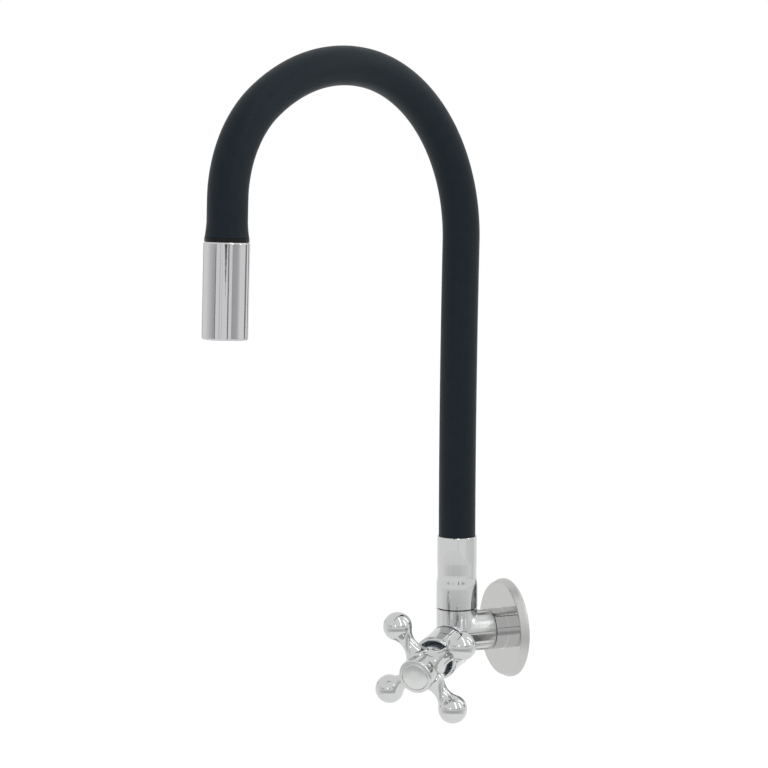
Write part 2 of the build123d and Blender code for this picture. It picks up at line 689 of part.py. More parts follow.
# Gooseneck route: a short rise from the ferrule, a long faint bow backward, whose
# radius and angle are below zero, then bends of three radii forward in the same
# upright plane, then a straight leg down to the nozzle. A place on it is its
# length along the route from the ferrule's lip.
sleeve_bore = SLEEVE_RADIUS - SLEEVE_WALL
core_radius = sleeve_bore - CORE_SPACE
bell_radius = sleeve_bore - BELL_SPACE
link_ball_radius = bell_radius - BELL_WALL
core_bore = WATER_HOSE_RADIUS + SOFT_GAP
link_neck_radius = core_bore + LINK_NECK_WALL
hose_side = radians(HOSE_SIDE_ANGLE)
hose_out = Vector(sin(hose_side), -cos(hose_side), 0)
hose_plane = Plane(
    spout_foot, x_dir=hose_out, z_dir=hose_out.cross(Vector(0, 0, 1))
)


def route_stretches():
    """List the route's stretches as (start place, end place, curvature)."""
    place = RISE_LENGTH
    stretches = [(-ferrule_lip, place, 0.0)]
    for radius, angle in BENDS:
        stretches.append((place, place + radius * radians(angle), 1 / radius))
        place = stretches[-1][1]
    stretches.append((place, place + LEG_LENGTH + NOZZLE_LENGTH, 0.0))
    return stretches


def route_point(place):
    """Return (out, height, lean) of the route at a place, lean from upright."""
    out, height, lean = 0.0, 0.0, 0.0
    for start, end, curve in route_stretches():
        length = min(place, end) - start
        if curve:
            turned = lean + length * curve
            out += (cos(lean) - cos(turned)) / curve
            height += (sin(turned) - sin(lean)) / curve
            lean = turned
        else:
            out += length * sin(lean)
            height += length * cos(lean)
        if place <= end:
            break
    return out, height, lean


def route_direction(place):
    """The route's direction at a place, as a vector."""
    lean = route_point(place)[2]
    return hose_out * sin(lean) + Vector(0, 0, 1) * cos(lean)


def route_position(place):
    """The route's position at a place, as a vector."""
    out, height, _ = route_point(place)
    return spout_foot + hose_out * out + Vector(0, 0, height)


def square_plane(place):
    """The plane square to the route at a place, z along the route."""
    return Plane(
        route_position(place), x_dir=hose_plane.z_dir, z_dir=route_direction(place)
    )


def section_plane(place):
    """A section plane at a place: x is a radius, y runs along the route."""
    along = route_direction(place)
    return Plane(
        route_position(place), x_dir=hose_plane.z_dir,
        z_dir=hose_plane.z_dir.cross(along),
    )


def follow_route(start, end, radius, bore=0.0, mode=Mode.ADD):
    """Run a tube or a rod along the route between two places, into the open part."""
    for low, high, curve in route_stretches():
        low, high = max(low, start), min(high, end)
        if high - low < LEAST_STRETCH:
            continue
        with BuildSketch(square_plane(low)) as ring:
            Circle(radius)
            if bore:
                Circle(bore, mode=Mode.SUBTRACT)
        if curve:
            inward = route_direction(low).cross(hose_plane.z_dir)
            bend_side = hose_plane.z_dir * (-1 if curve > 0 else 1)
            bend_axis = Axis(route_position(low) + inward / curve, bend_side)
            turned = degrees((high - low) * abs(curve))
            revolve(ring.sketch, axis=bend_axis, revolution_arc=turned, mode=mode)
        else:
            extrude(ring.sketch, amount=high - low, mode=mode)


# The sleeve ends on the gasket above the nozzle. The hose bends at even places
# between the ferrule and the nozzle, one fewer than its links.
hose_end = route_stretches()[-1][1] - NOZZLE_LENGTH
sleeve_end = hose_end - GASKET_THICKNESS
first_bend = LINK_NECK_LENGTH + CRIMP_LENGTH + CONNECTOR_COLLAR + LINK_END_SPACE
link_length = (hose_end - 2 * first_bend) / (LINK_COUNT - 2)
bend_places = [first_bend + link_length * i for i in range(LINK_COUNT - 1)]
hose_start = flange_top + SEAT_GAP - ferrule_lip
water_hose_end = hose_end - SEAT_GAP
core_end = hose_end - CONNECTOR_COLLAR - SEAT_GAP
sleeve_start = ferrule_ledge + SOFT_GAP - ferrule_lip
ball_foot_radius = sqrt(link_ball_radius**2 - BALL_DEPTH**2)
ball_neck_height = sqrt(link_ball_radius**2 - link_neck_radius**2)


def link_limits(index, layer_start, layer_end):
    """The start and end place of one link's share of a layer of the hose."""
    start = layer_start if index == 0 else bend_places[index - 1]
    end = layer_end if index == LINK_COUNT - 1 else bend_places[index]
    return start, end


for index in range(LINK_COUNT):
    start, end = link_limits(index, sleeve_start, sleeve_end)
    with BuildPart() as silicone_sleeve:
        follow_route(start, end, SLEEVE_RADIUS, sleeve_bore)
        if index == LINK_COUNT - 1:
            with BuildSketch(section_plane(sleeve_end)):
                with BuildLine():
                    Polyline(
                        (sleeve_bore, -FLARE_LENGTH),
                        (sleeve_bore, 0),
                        (FLARE_RADIUS, 0),
                        (FLARE_RADIUS, -FLARE_LENGTH / 4),
                    )
                    Bezier(
                        (FLARE_RADIUS, -FLARE_LENGTH / 4),
                        (FLARE_RADIUS, -FLARE_LENGTH / 2),
                        (SLEEVE_RADIUS, -FLARE_LENGTH / 2),
                        (SLEEVE_RADIUS, -FLARE_LENGTH),
                    )
                    Line(
                        (SLEEVE_RADIUS, -FLARE_LENGTH),
                        (sleeve_bore, -FLARE_LENGTH),
                    )
                make_face()
            revolve(axis=Axis(route_position(sleeve_end), route_direction(sleeve_end)))
    finish(silicone_sleeve, f"silicone_sleeve_{index + 1}")

    start, end = link_limits(index, hose_start, water_hose_end)
    with BuildPart() as water_hose:
        follow_route(start, end, WATER_HOSE_RADIUS, WATER_HOSE_RADIUS - WATER_HOSE_WALL)
    finish(water_hose, f"water_hose_{index + 1}")

    # A link of the steel core turns on a ball at its foot in the bell of the
    # link below, and its own bell carries the next one.
    start, end = link_limits(index, hose_start, core_end)
    is_first, is_last = index == 0, index == LINK_COUNT - 1
    tube_start = start if is_first else start + LINK_NECK_LENGTH
    tube_end = end if is_last else end - BELL_RIM - PASS
    with BuildPart() as gooseneck_core:
        follow_route(tube_start, tube_end, core_radius)
        if not is_last:
            with BuildSketch(square_plane(end - BELL_RIM)):
                Circle(bell_radius)
            extrude(amount=-BELL_LENGTH)
        if not is_first:
            with BuildSketch(square_plane(start)):
                Circle(link_neck_radius)
            extrude(amount=LINK_NECK_LENGTH + PASS)
            with BuildSketch(section_plane(start)):
                with BuildLine():
                    Line((0, -BALL_DEPTH), (ball_foot_radius, -BALL_DEPTH))
                    ThreePointArc(
                        (ball_foot_radius, -BALL_DEPTH),
                        (link_ball_radius, 0),
                        (link_neck_radius, ball_neck_height),
                    )
                    Polyline(
                        (link_neck_radius, ball_neck_height),
                        (0, ball_neck_height),
                        (0, -BALL_DEPTH),
                    )
                make_face()
            revolve(axis=Axis(route_position(start), route_direction(start)))
        follow_route(
            start - BELL_LENGTH, end + PASS, core_bore, mode=Mode.SUBTRACT
        )
        if not is_last:
            with Locations(route_position(end)):
                Sphere(link_ball_radius + SLIDE_FIT, mode=Mode.SUBTRACT)
        if is_first or is_last:
            foot = start if is_first else end - BARB_LENGTH + CONNECTOR_COLLAR
            with BuildSketch(square_plane(foot)):
                Circle(crimp_clear_radius)
            extrude(amount=BARB_LENGTH, mode=Mode.SUBTRACT)
    finish(gooseneck_core, f"gooseneck_core_{index + 1}")

# Nozzle: a shell on a barbed connector, with an aerator in its mouth. Its
# sections run along the hose's straight leg, from the end of the gasket.
nozzle_axis = Axis(route_position(hose_end), route_direction(hose_end))
nozzle_section = section_plane(hose_end)
connector_radius = link_neck_radius
shell_bore = NOZZLE_RADIUS - NOZZLE_WALL
aerator_start = NOZZLE_LENGTH - AERATOR_RECESS - AERATOR_LENGTH


def nozzle_plane(offset):
    """The plane square to the nozzle's axis, at an offset from its top."""
    return square_plane(hose_end + offset)


with BuildPart() as nozzle_gasket:
    with BuildSketch(nozzle_plane(SEAT_GAP - GASKET_THICKNESS)):
        Circle(GASKET_RADIUS)
        Circle(core_radius + SOFT_GAP, mode=Mode.SUBTRACT)
    extrude(amount=GASKET_THICKNESS - 2 * SEAT_GAP)
finish(nozzle_gasket, "nozzle_gasket")

with BuildPart() as nozzle_shell:
    with BuildSketch(nozzle_section):
        with BuildLine():
            Polyline(
                (connector_radius + SLIDE_FIT, 0),
                (NOZZLE_RADIUS - NOZZLE_EDGE, 0),
            )
            RadiusArc(
                (NOZZLE_RADIUS - NOZZLE_EDGE, 0), (NOZZLE_RADIUS, NOZZLE_EDGE), -NOZZLE_EDGE
            )
            Line((NOZZLE_RADIUS, NOZZLE_EDGE), (NOZZLE_RADIUS, NOZZLE_LENGTH - NOZZLE_EDGE))
            RadiusArc(
                (NOZZLE_RADIUS, NOZZLE_LENGTH - NOZZLE_EDGE),
                (NOZZLE_RADIUS - NOZZLE_EDGE, NOZZLE_LENGTH),
                -NOZZLE_EDGE,
            )
            Polyline(
                (NOZZLE_RADIUS - NOZZLE_EDGE, NOZZLE_LENGTH),
                (shell_bore, NOZZLE_LENGTH),
                (shell_bore, NOZZLE_CAP_THICKNESS),
                (connector_radius + SLIDE_FIT, NOZZLE_CAP_THICKNESS),
                (connector_radius + SLIDE_FIT, 0),
            )
        make_face()
    revolve(axis=nozzle_axis)
finish(nozzle_shell, "nozzle_shell")

flange_start = NOZZLE_CAP_THICKNESS + SEAT_GAP
with BuildPart() as outlet_connector:
    with BuildSketch(nozzle_section):
        with BuildLine():
            Polyline(
                (barb_radius - BARB_WALL, -BARB_LENGTH),
                (barb_radius - BARB_TAPER, -BARB_LENGTH),
                (barb_radius, BARB_TAPER_LENGTH - BARB_LENGTH),
                (barb_radius, 0),
                (connector_radius, 0),
                (connector_radius, flange_start),
                (shell_bore - SLIDE_FIT, flange_start),
                (shell_bore - SLIDE_FIT, flange_start + CONNECTOR_FLANGE),
                (barb_radius - BARB_WALL, flange_start + CONNECTOR_FLANGE),
                close=True,
            )
        make_face()
    revolve(axis=nozzle_axis)
finish(outlet_connector, "outlet_connector")

with BuildPart() as nozzle_crimp_ring:
    with BuildSketch(nozzle_plane(-CONNECTOR_COLLAR)):
        Circle(crimp_outer)
        Circle(crimp_inner, mode=Mode.SUBTRACT)
    extrude(amount=-CRIMP_LENGTH)
finish(nozzle_crimp_ring, "nozzle_crimp_ring")

honeycomb_pitch = HONEYCOMB_CELL + HONEYCOMB_WEB / 2
with BuildPart() as aerator_insert:
    with BuildSketch(nozzle_plane(aerator_start)):
        Circle(shell_bore - SLIDE_FIT)
        Circle(shell_bore - SLIDE_FIT - AERATOR_WALL, mode=Mode.SUBTRACT)
    extrude(amount=AERATOR_LENGTH)
    with BuildSketch(nozzle_plane(aerator_start + AERATOR_LENGTH - HONEYCOMB_THICKNESS)):
        Circle(shell_bore - AERATOR_WALL)
        with HexLocations(honeycomb_pitch, HONEYCOMB_ROWS, HONEYCOMB_ROWS):
            RegularPolygon(HONEYCOMB_CELL, 6, major_radius=False, mode=Mode.SUBTRACT)
    extrude(amount=HONEYCOMB_THICKNESS - SOFT_GAP)
finish(aerator_insert, "aerator_insert")

with BuildPart() as aerator_screen:
    with BuildSketch(nozzle_plane(aerator_start - SEAT_GAP)):
        Circle(shell_bore - SLIDE_FIT)
        with GridLocations(SCREEN_PITCH, SCREEN_PITCH, SCREEN_ROWS, SCREEN_ROWS):
            Rectangle(SCREEN_HOLE, SCREEN_HOLE, mode=Mode.SUBTRACT)
    extrude(amount=-SCREEN_THICKNESS)
finish(aerator_screen, "aerator_screen")

with BuildPart() as aerator_washer:
    with BuildSketch(nozzle_plane(aerator_start - SCREEN_THICKNESS - 2 * SEAT_GAP)):
        Circle(shell_bore - SLIDE_FIT)
        Circle(shell_bore - 2 * AERATOR_WALL, mode=Mode.SUBTRACT)
    extrude(amount=-WASHER_HEIGHT)
finish(aerator_washer, "aerator_washer")

print("hose from lip to gasket", round(hose_end, 1), "bends every", round(link_length, 1))
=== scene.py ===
"""The looks of a flexible wall faucet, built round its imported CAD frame.

A quarter turn valve on a wall flange carries a cross handle and a gooseneck hose
spout. Most pieces keep their CAD shapes. The hose's two soft tubes, the index cap
and the inlet's pipe thread are modelled here. Everything is in metres.
"""

import logging
import math
from dataclasses import dataclass, field
from enum import Enum
from typing import Any, Mapping, Optional, Sequence, Union

import bpy
from mathutils import Matrix, Vector


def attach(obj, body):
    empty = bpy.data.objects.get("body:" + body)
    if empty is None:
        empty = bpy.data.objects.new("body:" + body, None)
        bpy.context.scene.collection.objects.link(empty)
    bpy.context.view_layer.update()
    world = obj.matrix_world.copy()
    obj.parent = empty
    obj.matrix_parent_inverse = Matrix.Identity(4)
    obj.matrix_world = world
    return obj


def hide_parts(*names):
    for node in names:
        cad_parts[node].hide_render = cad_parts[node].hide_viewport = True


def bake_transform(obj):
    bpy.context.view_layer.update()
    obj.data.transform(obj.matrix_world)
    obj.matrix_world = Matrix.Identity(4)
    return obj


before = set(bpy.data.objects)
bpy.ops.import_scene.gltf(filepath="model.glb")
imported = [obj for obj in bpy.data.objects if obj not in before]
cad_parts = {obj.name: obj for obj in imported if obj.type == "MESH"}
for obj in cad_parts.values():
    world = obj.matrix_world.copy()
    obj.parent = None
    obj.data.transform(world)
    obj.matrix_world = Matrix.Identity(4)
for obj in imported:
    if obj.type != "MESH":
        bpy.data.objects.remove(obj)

log = logging.getLogger("faucet")
TOLERANCE = 0.00001
MERGE_DISTANCE = 0.000001
TOWARDS_CAMERA = (0.90945, -0.40131, 0.10887)

Colour = tuple[float, float, float]
Number = Union[float, "Value"]


# The axis of the bonnet


@dataclass(frozen=True)
class Bonnet:
    """The slanting axis that the bonnet, the cartridge and the handle share."""

    side_angle: float = 40.4
    down_angle: float = 9.8
    foot_place: tuple[float, float, float] = (0.0, -0.0310, -0.0042)

    @property
    def foot(self) -> Vector:
        """The axis's start, in the middle of the valve."""
        return Vector(self.foot_place)

    @property
    def direction(self) -> Vector:
        """The axis's direction.

        Returns:
            The direction from the valve towards the handle.
        """
        side, down = math.radians(self.side_angle), math.radians(self.down_angle)
        return Vector(
            (math.sin(side) * math.cos(down), -math.cos(side) * math.cos(down), -math.sin(down))
        )

    def at(self, offset: float) -> Vector:
        """The point of the axis at an offset from its start."""
        return self.foot + self.direction * offset


BONNET = Bonnet()


# Node graphs


class Value:
    """A node's output, with the arithmetic that adds Math nodes."""

    def __init__(self, graph: "Graph", socket: Optional[bpy.types.NodeSocket]) -> None:
        """Keep the graph and the output, or None for a node without outputs."""
        self.graph = graph
        self.socket = socket

    def _math(self, operation: str, first: Number, second: Number = 0.0) -> "Value":
        """Add one Math node.

        Args:
            operation: The Math node's operation.
            first: Its first number or link.
            second: Its second number or link.

        Returns:
            The node's result.
        """
        return self.graph.add("ShaderNodeMath", {"operation": operation}, {0: first, 1: second})

    def __add__(self, other: Number) -> "Value":
        """Sum."""
        return self._math("ADD", self, other)

    def __radd__(self, other: Number) -> "Value":
        """Sum, with the number first."""
        return self._math("ADD", other, self)

    def __sub__(self, other: Number) -> "Value":
        """Difference."""
        return self._math("SUBTRACT", self, other)

    def __rsub__(self, other: Number) -> "Value":
        """Difference, with the number first."""
        return self._math("SUBTRACT", other, self)

    def __mul__(self, other: Number) -> "Value":
        """Product."""
        return self._math("MULTIPLY", self, other)

    def __rmul__(self, other: Number) -> "Value":
        """Product, with the number first."""
        return self._math("MULTIPLY", other, self)

    def clamped(self) -> "Value":
        """The value, kept between zero and one."""
        return self.graph.add(
            "ShaderNodeMath", {"operation": "ADD", "use_clamp": True}, {0: self, 1: 0.0}
        )

    def past(self, start: float, fade: float) -> "Value":
        """Zero up to a start, then rising evenly to one over a fade."""
        return ((self - start) * (1 / fade)).clamped()


class Graph:
    """The nodes of one material or world."""

    mix_colours: tuple[int, int] = (6, 7)
    mix_result: int = 2

    def __init__(self, owner: Union[bpy.types.Material, bpy.types.World]) -> None:
        """Empty the owner's node tree and keep it.

        Args:
            owner: The material or world.
        """
        owner.use_nodes = True
        self.tree = owner.node_tree
        self.tree.nodes.clear()

    def add(
        self,
        kind: str,
        settings: Optional[Mapping[str, Any]] = None,
        inputs: Optional[Mapping[Union[int, str], Any]] = None,
        output: Union[int, str] = 0,
    ) -> Value:
        """Add a node.

        Args:
            kind: The node's type.
            settings: Its settings, set before its sockets. A ramp's stops are pairs
                of a place and a colour.
            inputs: A value, a colour or a link for each socket that isn't left alone.
            output: Which output is wanted.

        Returns:
            The wanted output.
        """
        node = self.tree.nodes.new(kind)
        for name, value in (settings or {}).items():
            if name == "stops":
                self._set_stops(node.color_ramp, value)
            else:
                setattr(node, name, value)
        for name, value in (inputs or {}).items():
            if isinstance(value, Value):
                self.tree.links.new(value.socket, node.inputs[name])
            else:
                node.inputs[name].default_value = value
        return Value(self, node.outputs[output] if len(node.outputs) else None)

    @staticmethod
    def _set_stops(ramp: bpy.types.ColorRamp, stops: Sequence[tuple[float, Any]]) -> None:
        """Give a colour ramp its stops.

        Args:
            ramp: The ramp.
            stops: Pairs of a place from 0 to 1 and a grey level or a colour.
        """
        while len(ramp.elements) < len(stops):
            ramp.elements.new(1.0)
        for element, (place, tone) in zip(ramp.elements, stops):
            element.position = place
            element.color = rgba(tone)

    def object_place(self) -> Value:
        """The point's place, in metres."""
        return self.add("ShaderNodeTexCoord", output="Object")

    def vector(
        self, operation: str, first: Any, second: Any = None, output: str = "Vector"
    ) -> Value:
        """Vector maths.

        Args:
            operation: The Vector Math node's operation.
            first: Its first vector or link.
            second: Its second vector or link, where it takes one.
            output: Which output is wanted.

        Returns:
            The node's result.
        """
        inputs = {0: first} if second is None else {0: first, 1: second}
        return self.add("ShaderNodeVectorMath", {"operation": operation}, inputs, output)

    def noise(self, place: Value, scale: float, detail: float) -> Value:
        """Noise between zero and one.

        Args:
            place: Where it is read.
            scale: How many of its lumps a metre has.
            detail: How many finer layers it has.

        Returns:
            The noise.
        """
        return self.add(
            "ShaderNodeTexNoise", {"noise_dimensions": "3D"},
            {"Vector": place, "Scale": scale, "Detail": detail}, "Fac",
        )

    def patches(
        self, place: Value, scale: float, low: float, high: float, detail: float = 3.0
    ) -> Value:
        """Soft patches, from a noise.

        Args:
            place: Where the noise is read.
            scale: How many of its lumps a metre has.
            low: The level up to which there is no patch.
            high: The level from which a patch is full.
            detail: How many finer layers the noise has.

        Returns:
            Zero between the patches, and one in them.
        """
        return self.add(
            "ShaderNodeValToRGB", {"stops": ((low, 0.0), (high, 1.0))},
            {"Fac": self.noise(place, scale, detail)}, "Color",
        )

    def mix(self, factor: Number, first: Any, second: Any) -> Value:
        """A colour between two others.

        The Mix node's sockets share their names, so they go by number.

        Args:
            factor: How much of the second there is.
            first: A colour or a link.
            second: A colour or a link.

        Returns:
            The mixed colour.
        """
        ends = [end if isinstance(end, Value) else rgba(end) for end in (first, second)]
        inputs = {0: factor, **dict(zip(self.mix_colours, ends))}
        return self.add("ShaderNodeMix", {"data_type": "RGBA"}, inputs, self.mix_result)

    def bump(self, height: Value, depth: float) -> Value:
        """A normal that follows a height.

        Args:
            height: The height, from zero to one.
            depth: How far one unit of height stands out, in metres.

        Returns:
            The normal.
        """
        return self.add(
            "ShaderNodeBump", {}, {"Height": height, "Distance": depth, "Strength": 1.0}, "Normal"
        )


def rgba(tone: Union[float, Sequence[float]]) -> tuple[float, float, float, float]:
    """Give a colour its alpha.

    Args:
        tone: A grey level, or the colour's three numbers.

    Returns:
        The colour's three numbers and an alpha of one.
    """
    if isinstance(tone, (int, float)):
        return (tone, tone, tone, 1.0)
    return (tone[0], tone[1], tone[2], 1.0)


# Finishes


@dataclass(frozen=True)
class Finish:
    """A finish, which becomes one material."""

    name: str

    def material(self) -> bpy.types.Material:
        """Make the material, or find it where it is already made.

        Returns:
            The material.
        """
        found = bpy.data.materials.get(self.name)
        if found:
            return found
        made = bpy.data.materials.new(self.name)
        graph = Graph(made)
        sockets = self.sockets(graph)
        shader = graph.add("ShaderNodeBsdfPrincipled", {}, sockets, "BSDF")
        graph.add("ShaderNodeOutputMaterial", {}, {"Surface": shader})
        return made

    def sockets(self, graph: Graph) -> dict[str, Any]:
        """The shader's sockets, as values or links, from the graph's nodes."""
        raise NotImplementedError


@dataclass(frozen=True)
class Chrome(Finish):
    """Polished chrome plate, with hand marks and the slow waves of buffed metal."""

    tint: Colour = (0.575, 0.585, 0.580)
    shade: Colour = (0.545, 0.555, 0.550)
    polish: float = 0.035
    smudge: float = 0.09
    smudge_scale: float = 60.0
    speck_scale: float = 900.0
    wave_size: float = 0.006
    wave_depth: float = 0.00002

    def sockets(self, graph: Graph) -> dict[str, Any]:
        """Bright metal whose roughness rises in faint smudges.

        Args:
            graph: The material's nodes.

        Returns:
            The sockets' values and links.
        """
        place = graph.object_place()
        smudges = graph.patches(place, self.smudge_scale, low=0.45, high=0.75)
        specks = graph.noise(place, self.speck_scale, detail=2.0)
        waves = graph.noise(place, 1 / self.wave_size, detail=1.0)
        return {
            "Base Color": graph.mix(specks, self.tint, self.shade),
            "Metallic": 1.0,
            "Roughness": self.polish + (self.smudge - self.polish) * smudges,
            "Normal": graph.bump(waves, self.wave_depth),
        }


@dataclass(frozen=True)
class SeamedChrome(Chrome):
    """Chrome castings that meet at a seam across the bonnet, darkened there with painted shade.

    The shroud's bore, which polishing and plating hardly reach, is dull. The inlet
    neck is less polished than the rest.
    """

    # Painted shade: a dark colour across the seam stands for the shadow in the gap between the boss
    # and the shroud.
    painted_seam_shade: Colour = (0.085, 0.100, 0.120)
    seam_place: float = 0.01205
    seam_reach: float = 0.0010
    seam_sharpness: float = 5.0
    seam_roughness: float = 0.35
    bore: Colour = (0.76, 0.82, 0.90)
    bore_start: float = 0.0140
    bore_radius: float = 0.0108
    bore_fade: float = 0.0002
    bore_metallic: float = 0.15
    bore_roughness: float = 0.45
    neck_start: float = 0.0010
    neck_reach: float = 0.0109
    neck_fade: float = 0.0005
    neck_roughness: float = 0.22

    def sockets(self, graph: Graph) -> dict[str, Any]:
        """The chrome's sockets, with painted shade in the seam, and dull in the bore and on the
        neck.

        Args:
            graph: The material's nodes.

        Returns:
            The sockets' values and links.
        """
        sockets = super().sockets(graph)
        aside = graph.vector("SUBTRACT", graph.object_place(), tuple(BONNET.foot))
        offset = graph.vector("DOT_PRODUCT", aside, tuple(BONNET.direction), "Value")
        # The seam's mask, where painted shade darkens the colour.
        away = graph.add("ShaderNodeMath", {"operation": "ABSOLUTE"}, {0: offset - self.seam_place})
        seam = ((1 - away * (1 / self.seam_reach)) * self.seam_sharpness).clamped()

        across = graph.vector("CROSS_PRODUCT", aside, tuple(BONNET.direction))
        reach = graph.vector("LENGTH", across, output="Value")
        outside = reach.past(self.bore_radius - self.bore_fade, self.bore_fade)
        bore = (1 - outside) * offset.past(self.bore_start, self.bore_fade)

        inwards = graph.vector("DOT_PRODUCT", aside, (0.0, 1.0, 0.0), "Value")
        level = graph.vector("MULTIPLY", aside, (1.0, 1.0, 0.0))
        outwards = graph.vector("LENGTH", level, output="Value")
        neck = (
            inwards.past(self.neck_start, self.neck_fade)
            * outwards.past(self.neck_reach, self.neck_fade)
        )

        # Painted shade: the seam's mask turns the base colour towards the dark seam colour.
        seamed = graph.mix(seam, sockets["Base Color"], self.painted_seam_shade)
        sockets["Base Color"] = graph.mix(bore, seamed, self.bore)
        sockets["Metallic"] = 1 - (1 - self.bore_metallic) * bore
        sockets["Roughness"] = (
            self.seam_roughness * seam + self.bore_roughness * bore
            + self.neck_roughness * neck + sockets["Roughness"]
        )
        return sockets


@dataclass(frozen=True)
class FlangeChrome(Chrome):
    """A polished flange, greyer on its face with painted shade, and duller on its pressed rim."""

    # Painted shade: the face's greyer colour stands for the darker reflection in the same chrome's
    # flat face. Where it fades in past face_start, a thin lighter ring is left at the collar's
    # foot, a painted highlight.
    face: Colour = (0.505, 0.502, 0.492)
    face_start: float = 0.01132
    rim_start: float = 0.0254
    rim_roughness: float = 0.34
    fade: float = 0.0004

    def sockets(self, graph: Graph) -> dict[str, Any]:
        """The chrome's sockets, greyer with painted shade past the collar and rougher past the
        rim's start.

        Args:
            graph: The material's nodes.

        Returns:
            The sockets' values and links.
        """
        sockets = super().sockets(graph)
        upright = graph.vector("MULTIPLY", graph.object_place(), (1.0, 0.0, 1.0))
        reach = graph.vector("LENGTH", upright, output="Value")
        face = reach.past(self.face_start, self.fade)
        rim = reach.past(self.rim_start, self.fade)
        # Painted shade: past the collar the colour turns to the greyer face colour.
        sockets["Base Color"] = graph.mix(face, sockets["Base Color"], self.face)
        sockets["Roughness"] = self.rim_roughness * rim + sockets["Roughness"]
        return sockets


@dataclass(frozen=True)
class Mottled(Finish):
    """A plain material with soft patches of a second colour and a fine grain.

    Scales are in lumps a metre. A patch starts at the first of its levels and is full
    at the second.
    """

    tint: Colour
    patch: Colour
    patch_scale: float = 300.0
    patch_detail: float = 4.0
    patch_levels: tuple[float, float] = (0.0, 1.0)
    patch_roughness: float = 0.0
    grain_scale: float = 2600.0
    grain_depth: float = 0.000005
    grain_roughness: float = 0.0
    metallic: float = 0.0
    roughness: float = 0.35
    gloss: float = 0.5

    def sockets(self, graph: Graph) -> dict[str, Any]:
        """The second colour in soft patches, and a grain that stands out a little.

        Args:
            graph: The material's nodes.

        Returns:
            The sockets' values and links.
        """
        place = graph.object_place()
        patches = graph.patches(place, self.patch_scale, *self.patch_levels, self.patch_detail)
        grain = graph.noise(place, self.grain_scale, detail=2.0)
        return {
            "Base Color": graph.mix(patches, self.tint, self.patch),
            "Metallic": self.metallic,
            "Roughness": (
                self.roughness + self.patch_roughness * patches + self.grain_roughness * grain
            ),
            "Specular IOR Level": self.gloss,
            "Normal": graph.bump(grain, self.grain_depth),
        }


@dataclass(frozen=True)
class DullPlate(Mottled):
    """Dull nickel plate with stains, such as on a cartridge seen only through a gap."""

    tint: Colour = (0.46, 0.50, 0.54)
    patch: Colour = (0.32, 0.36, 0.40)
    patch_scale: float = 220.0
    patch_levels: tuple[float, float] = (0.40, 0.70)
    grain_scale: float = 2400.0
    grain_depth: float = 0.000006
    grain_roughness: float = 0.10
    metallic: float = 0.10
    roughness: float = 0.38


@dataclass(frozen=True)
class Silicone(Mottled):
    """Soft black silicone: matte, with a fine moulded grain and a little dust."""

    tint: Colour = (0.0042, 0.0098, 0.0145)
    patch: Colour = (0.0062, 0.0120, 0.0168)
    patch_scale: float = 140.0
    patch_detail: float = 5.0
    patch_levels: tuple[float, float] = (0.40, 0.72)
    patch_roughness: float = 0.08
    grain_scale: float = 1 / 0.0003
    grain_depth: float = 0.00001
    roughness: float = 0.46
    gloss: float = 0.14


@dataclass(frozen=True)
class Rubber(Mottled):
    """Black sealing rubber with a cloudy bloom, a little shinier than the sleeve."""

    tint: Colour = (0.010, 0.009, 0.0095)
    patch: Colour = (0.016, 0.015, 0.015)
    patch_scale: float = 260.0
    patch_roughness: float = 0.15
    grain_scale: float = 2200.0
    grain_depth: float = 0.000006
    roughness: float = 0.30
    gloss: float = 0.16


@dataclass(frozen=True)
class MachinedMetal(Mottled):
    """Turned metal with fine tool marks and tarnish, such as the brass and steel inside."""

    tint: Colour = (0.72, 0.58, 0.33)
    patch: Colour = (0.52, 0.38, 0.18)
    patch_scale: float = 120.0
    patch_detail: float = 5.0
    patch_levels: tuple[float, float] = (0.45, 0.80)
    patch_roughness: float = 0.15
    grain_scale: float = 1800.0
    grain_depth: float = 0.000008
    grain_roughness: float = 0.10
    metallic: float = 1.0
    roughness: float = 0.22


@dataclass(frozen=True)
class Moulded(Mottled):
    """Pale moulded or pressed material, such as ceramic or plastic."""

    tint: Colour = (0.82, 0.82, 0.80)
    patch: Colour = (0.74, 0.74, 0.71)
    patch_roughness: float = 0.12


class Finishes(Enum):
    """The faucet's finishes, by what they are on."""

    CHROME = Chrome("polished_chrome")
    SEAMED = SeamedChrome("seamed_chrome")
    # Painted light: a brighter tint than the other chrome's, which lights up the collar though it
    # is the same chrome.
    FLANGE = FlangeChrome("flange_chrome", tint=(0.68, 0.69, 0.69), shade=(0.65, 0.66, 0.66))
    PLATE = DullPlate("dull_nickel_plate")
    NOZZLE = Chrome(
        "drawn_chrome", tint=(0.575, 0.566, 0.580), shade=(0.545, 0.536, 0.550), polish=0.05
    )
    CAP = Chrome(
        "satin_cap", tint=(0.62, 0.63, 0.62), shade=(0.59, 0.60, 0.59), polish=0.16, smudge=0.22
    )
    SILICONE = Silicone("black_silicone")
    RUBBER = Rubber("sealing_rubber")
    GASKET = Rubber("gasket_rubber", tint=(0.0035, 0.0030, 0.0032), patch=(0.0060, 0.0052, 0.0055))
    WATER_HOSE = Rubber(
        "water_hose_rubber", tint=(0.020, 0.020, 0.021), patch=(0.032, 0.031, 0.031)
    )
    BRASS = MachinedMetal("turned_brass")
    STEEL = MachinedMetal(
        "spring_steel", tint=(0.62, 0.62, 0.63), patch=(0.50, 0.50, 0.51), roughness=0.28
    )
    CERAMIC = Moulded(
        "lapped_ceramic", tint=(0.90, 0.89, 0.85), patch=(0.84, 0.83, 0.79), roughness=0.12
    )
    PLASTIC = Moulded("moulded_plastic")

    def on(self, piece: bpy.types.Object) -> None:
        """Dress a piece all over in this finish."""
        piece.data.materials.clear()
        piece.data.materials.append(self.value.material())


# Mesh operations


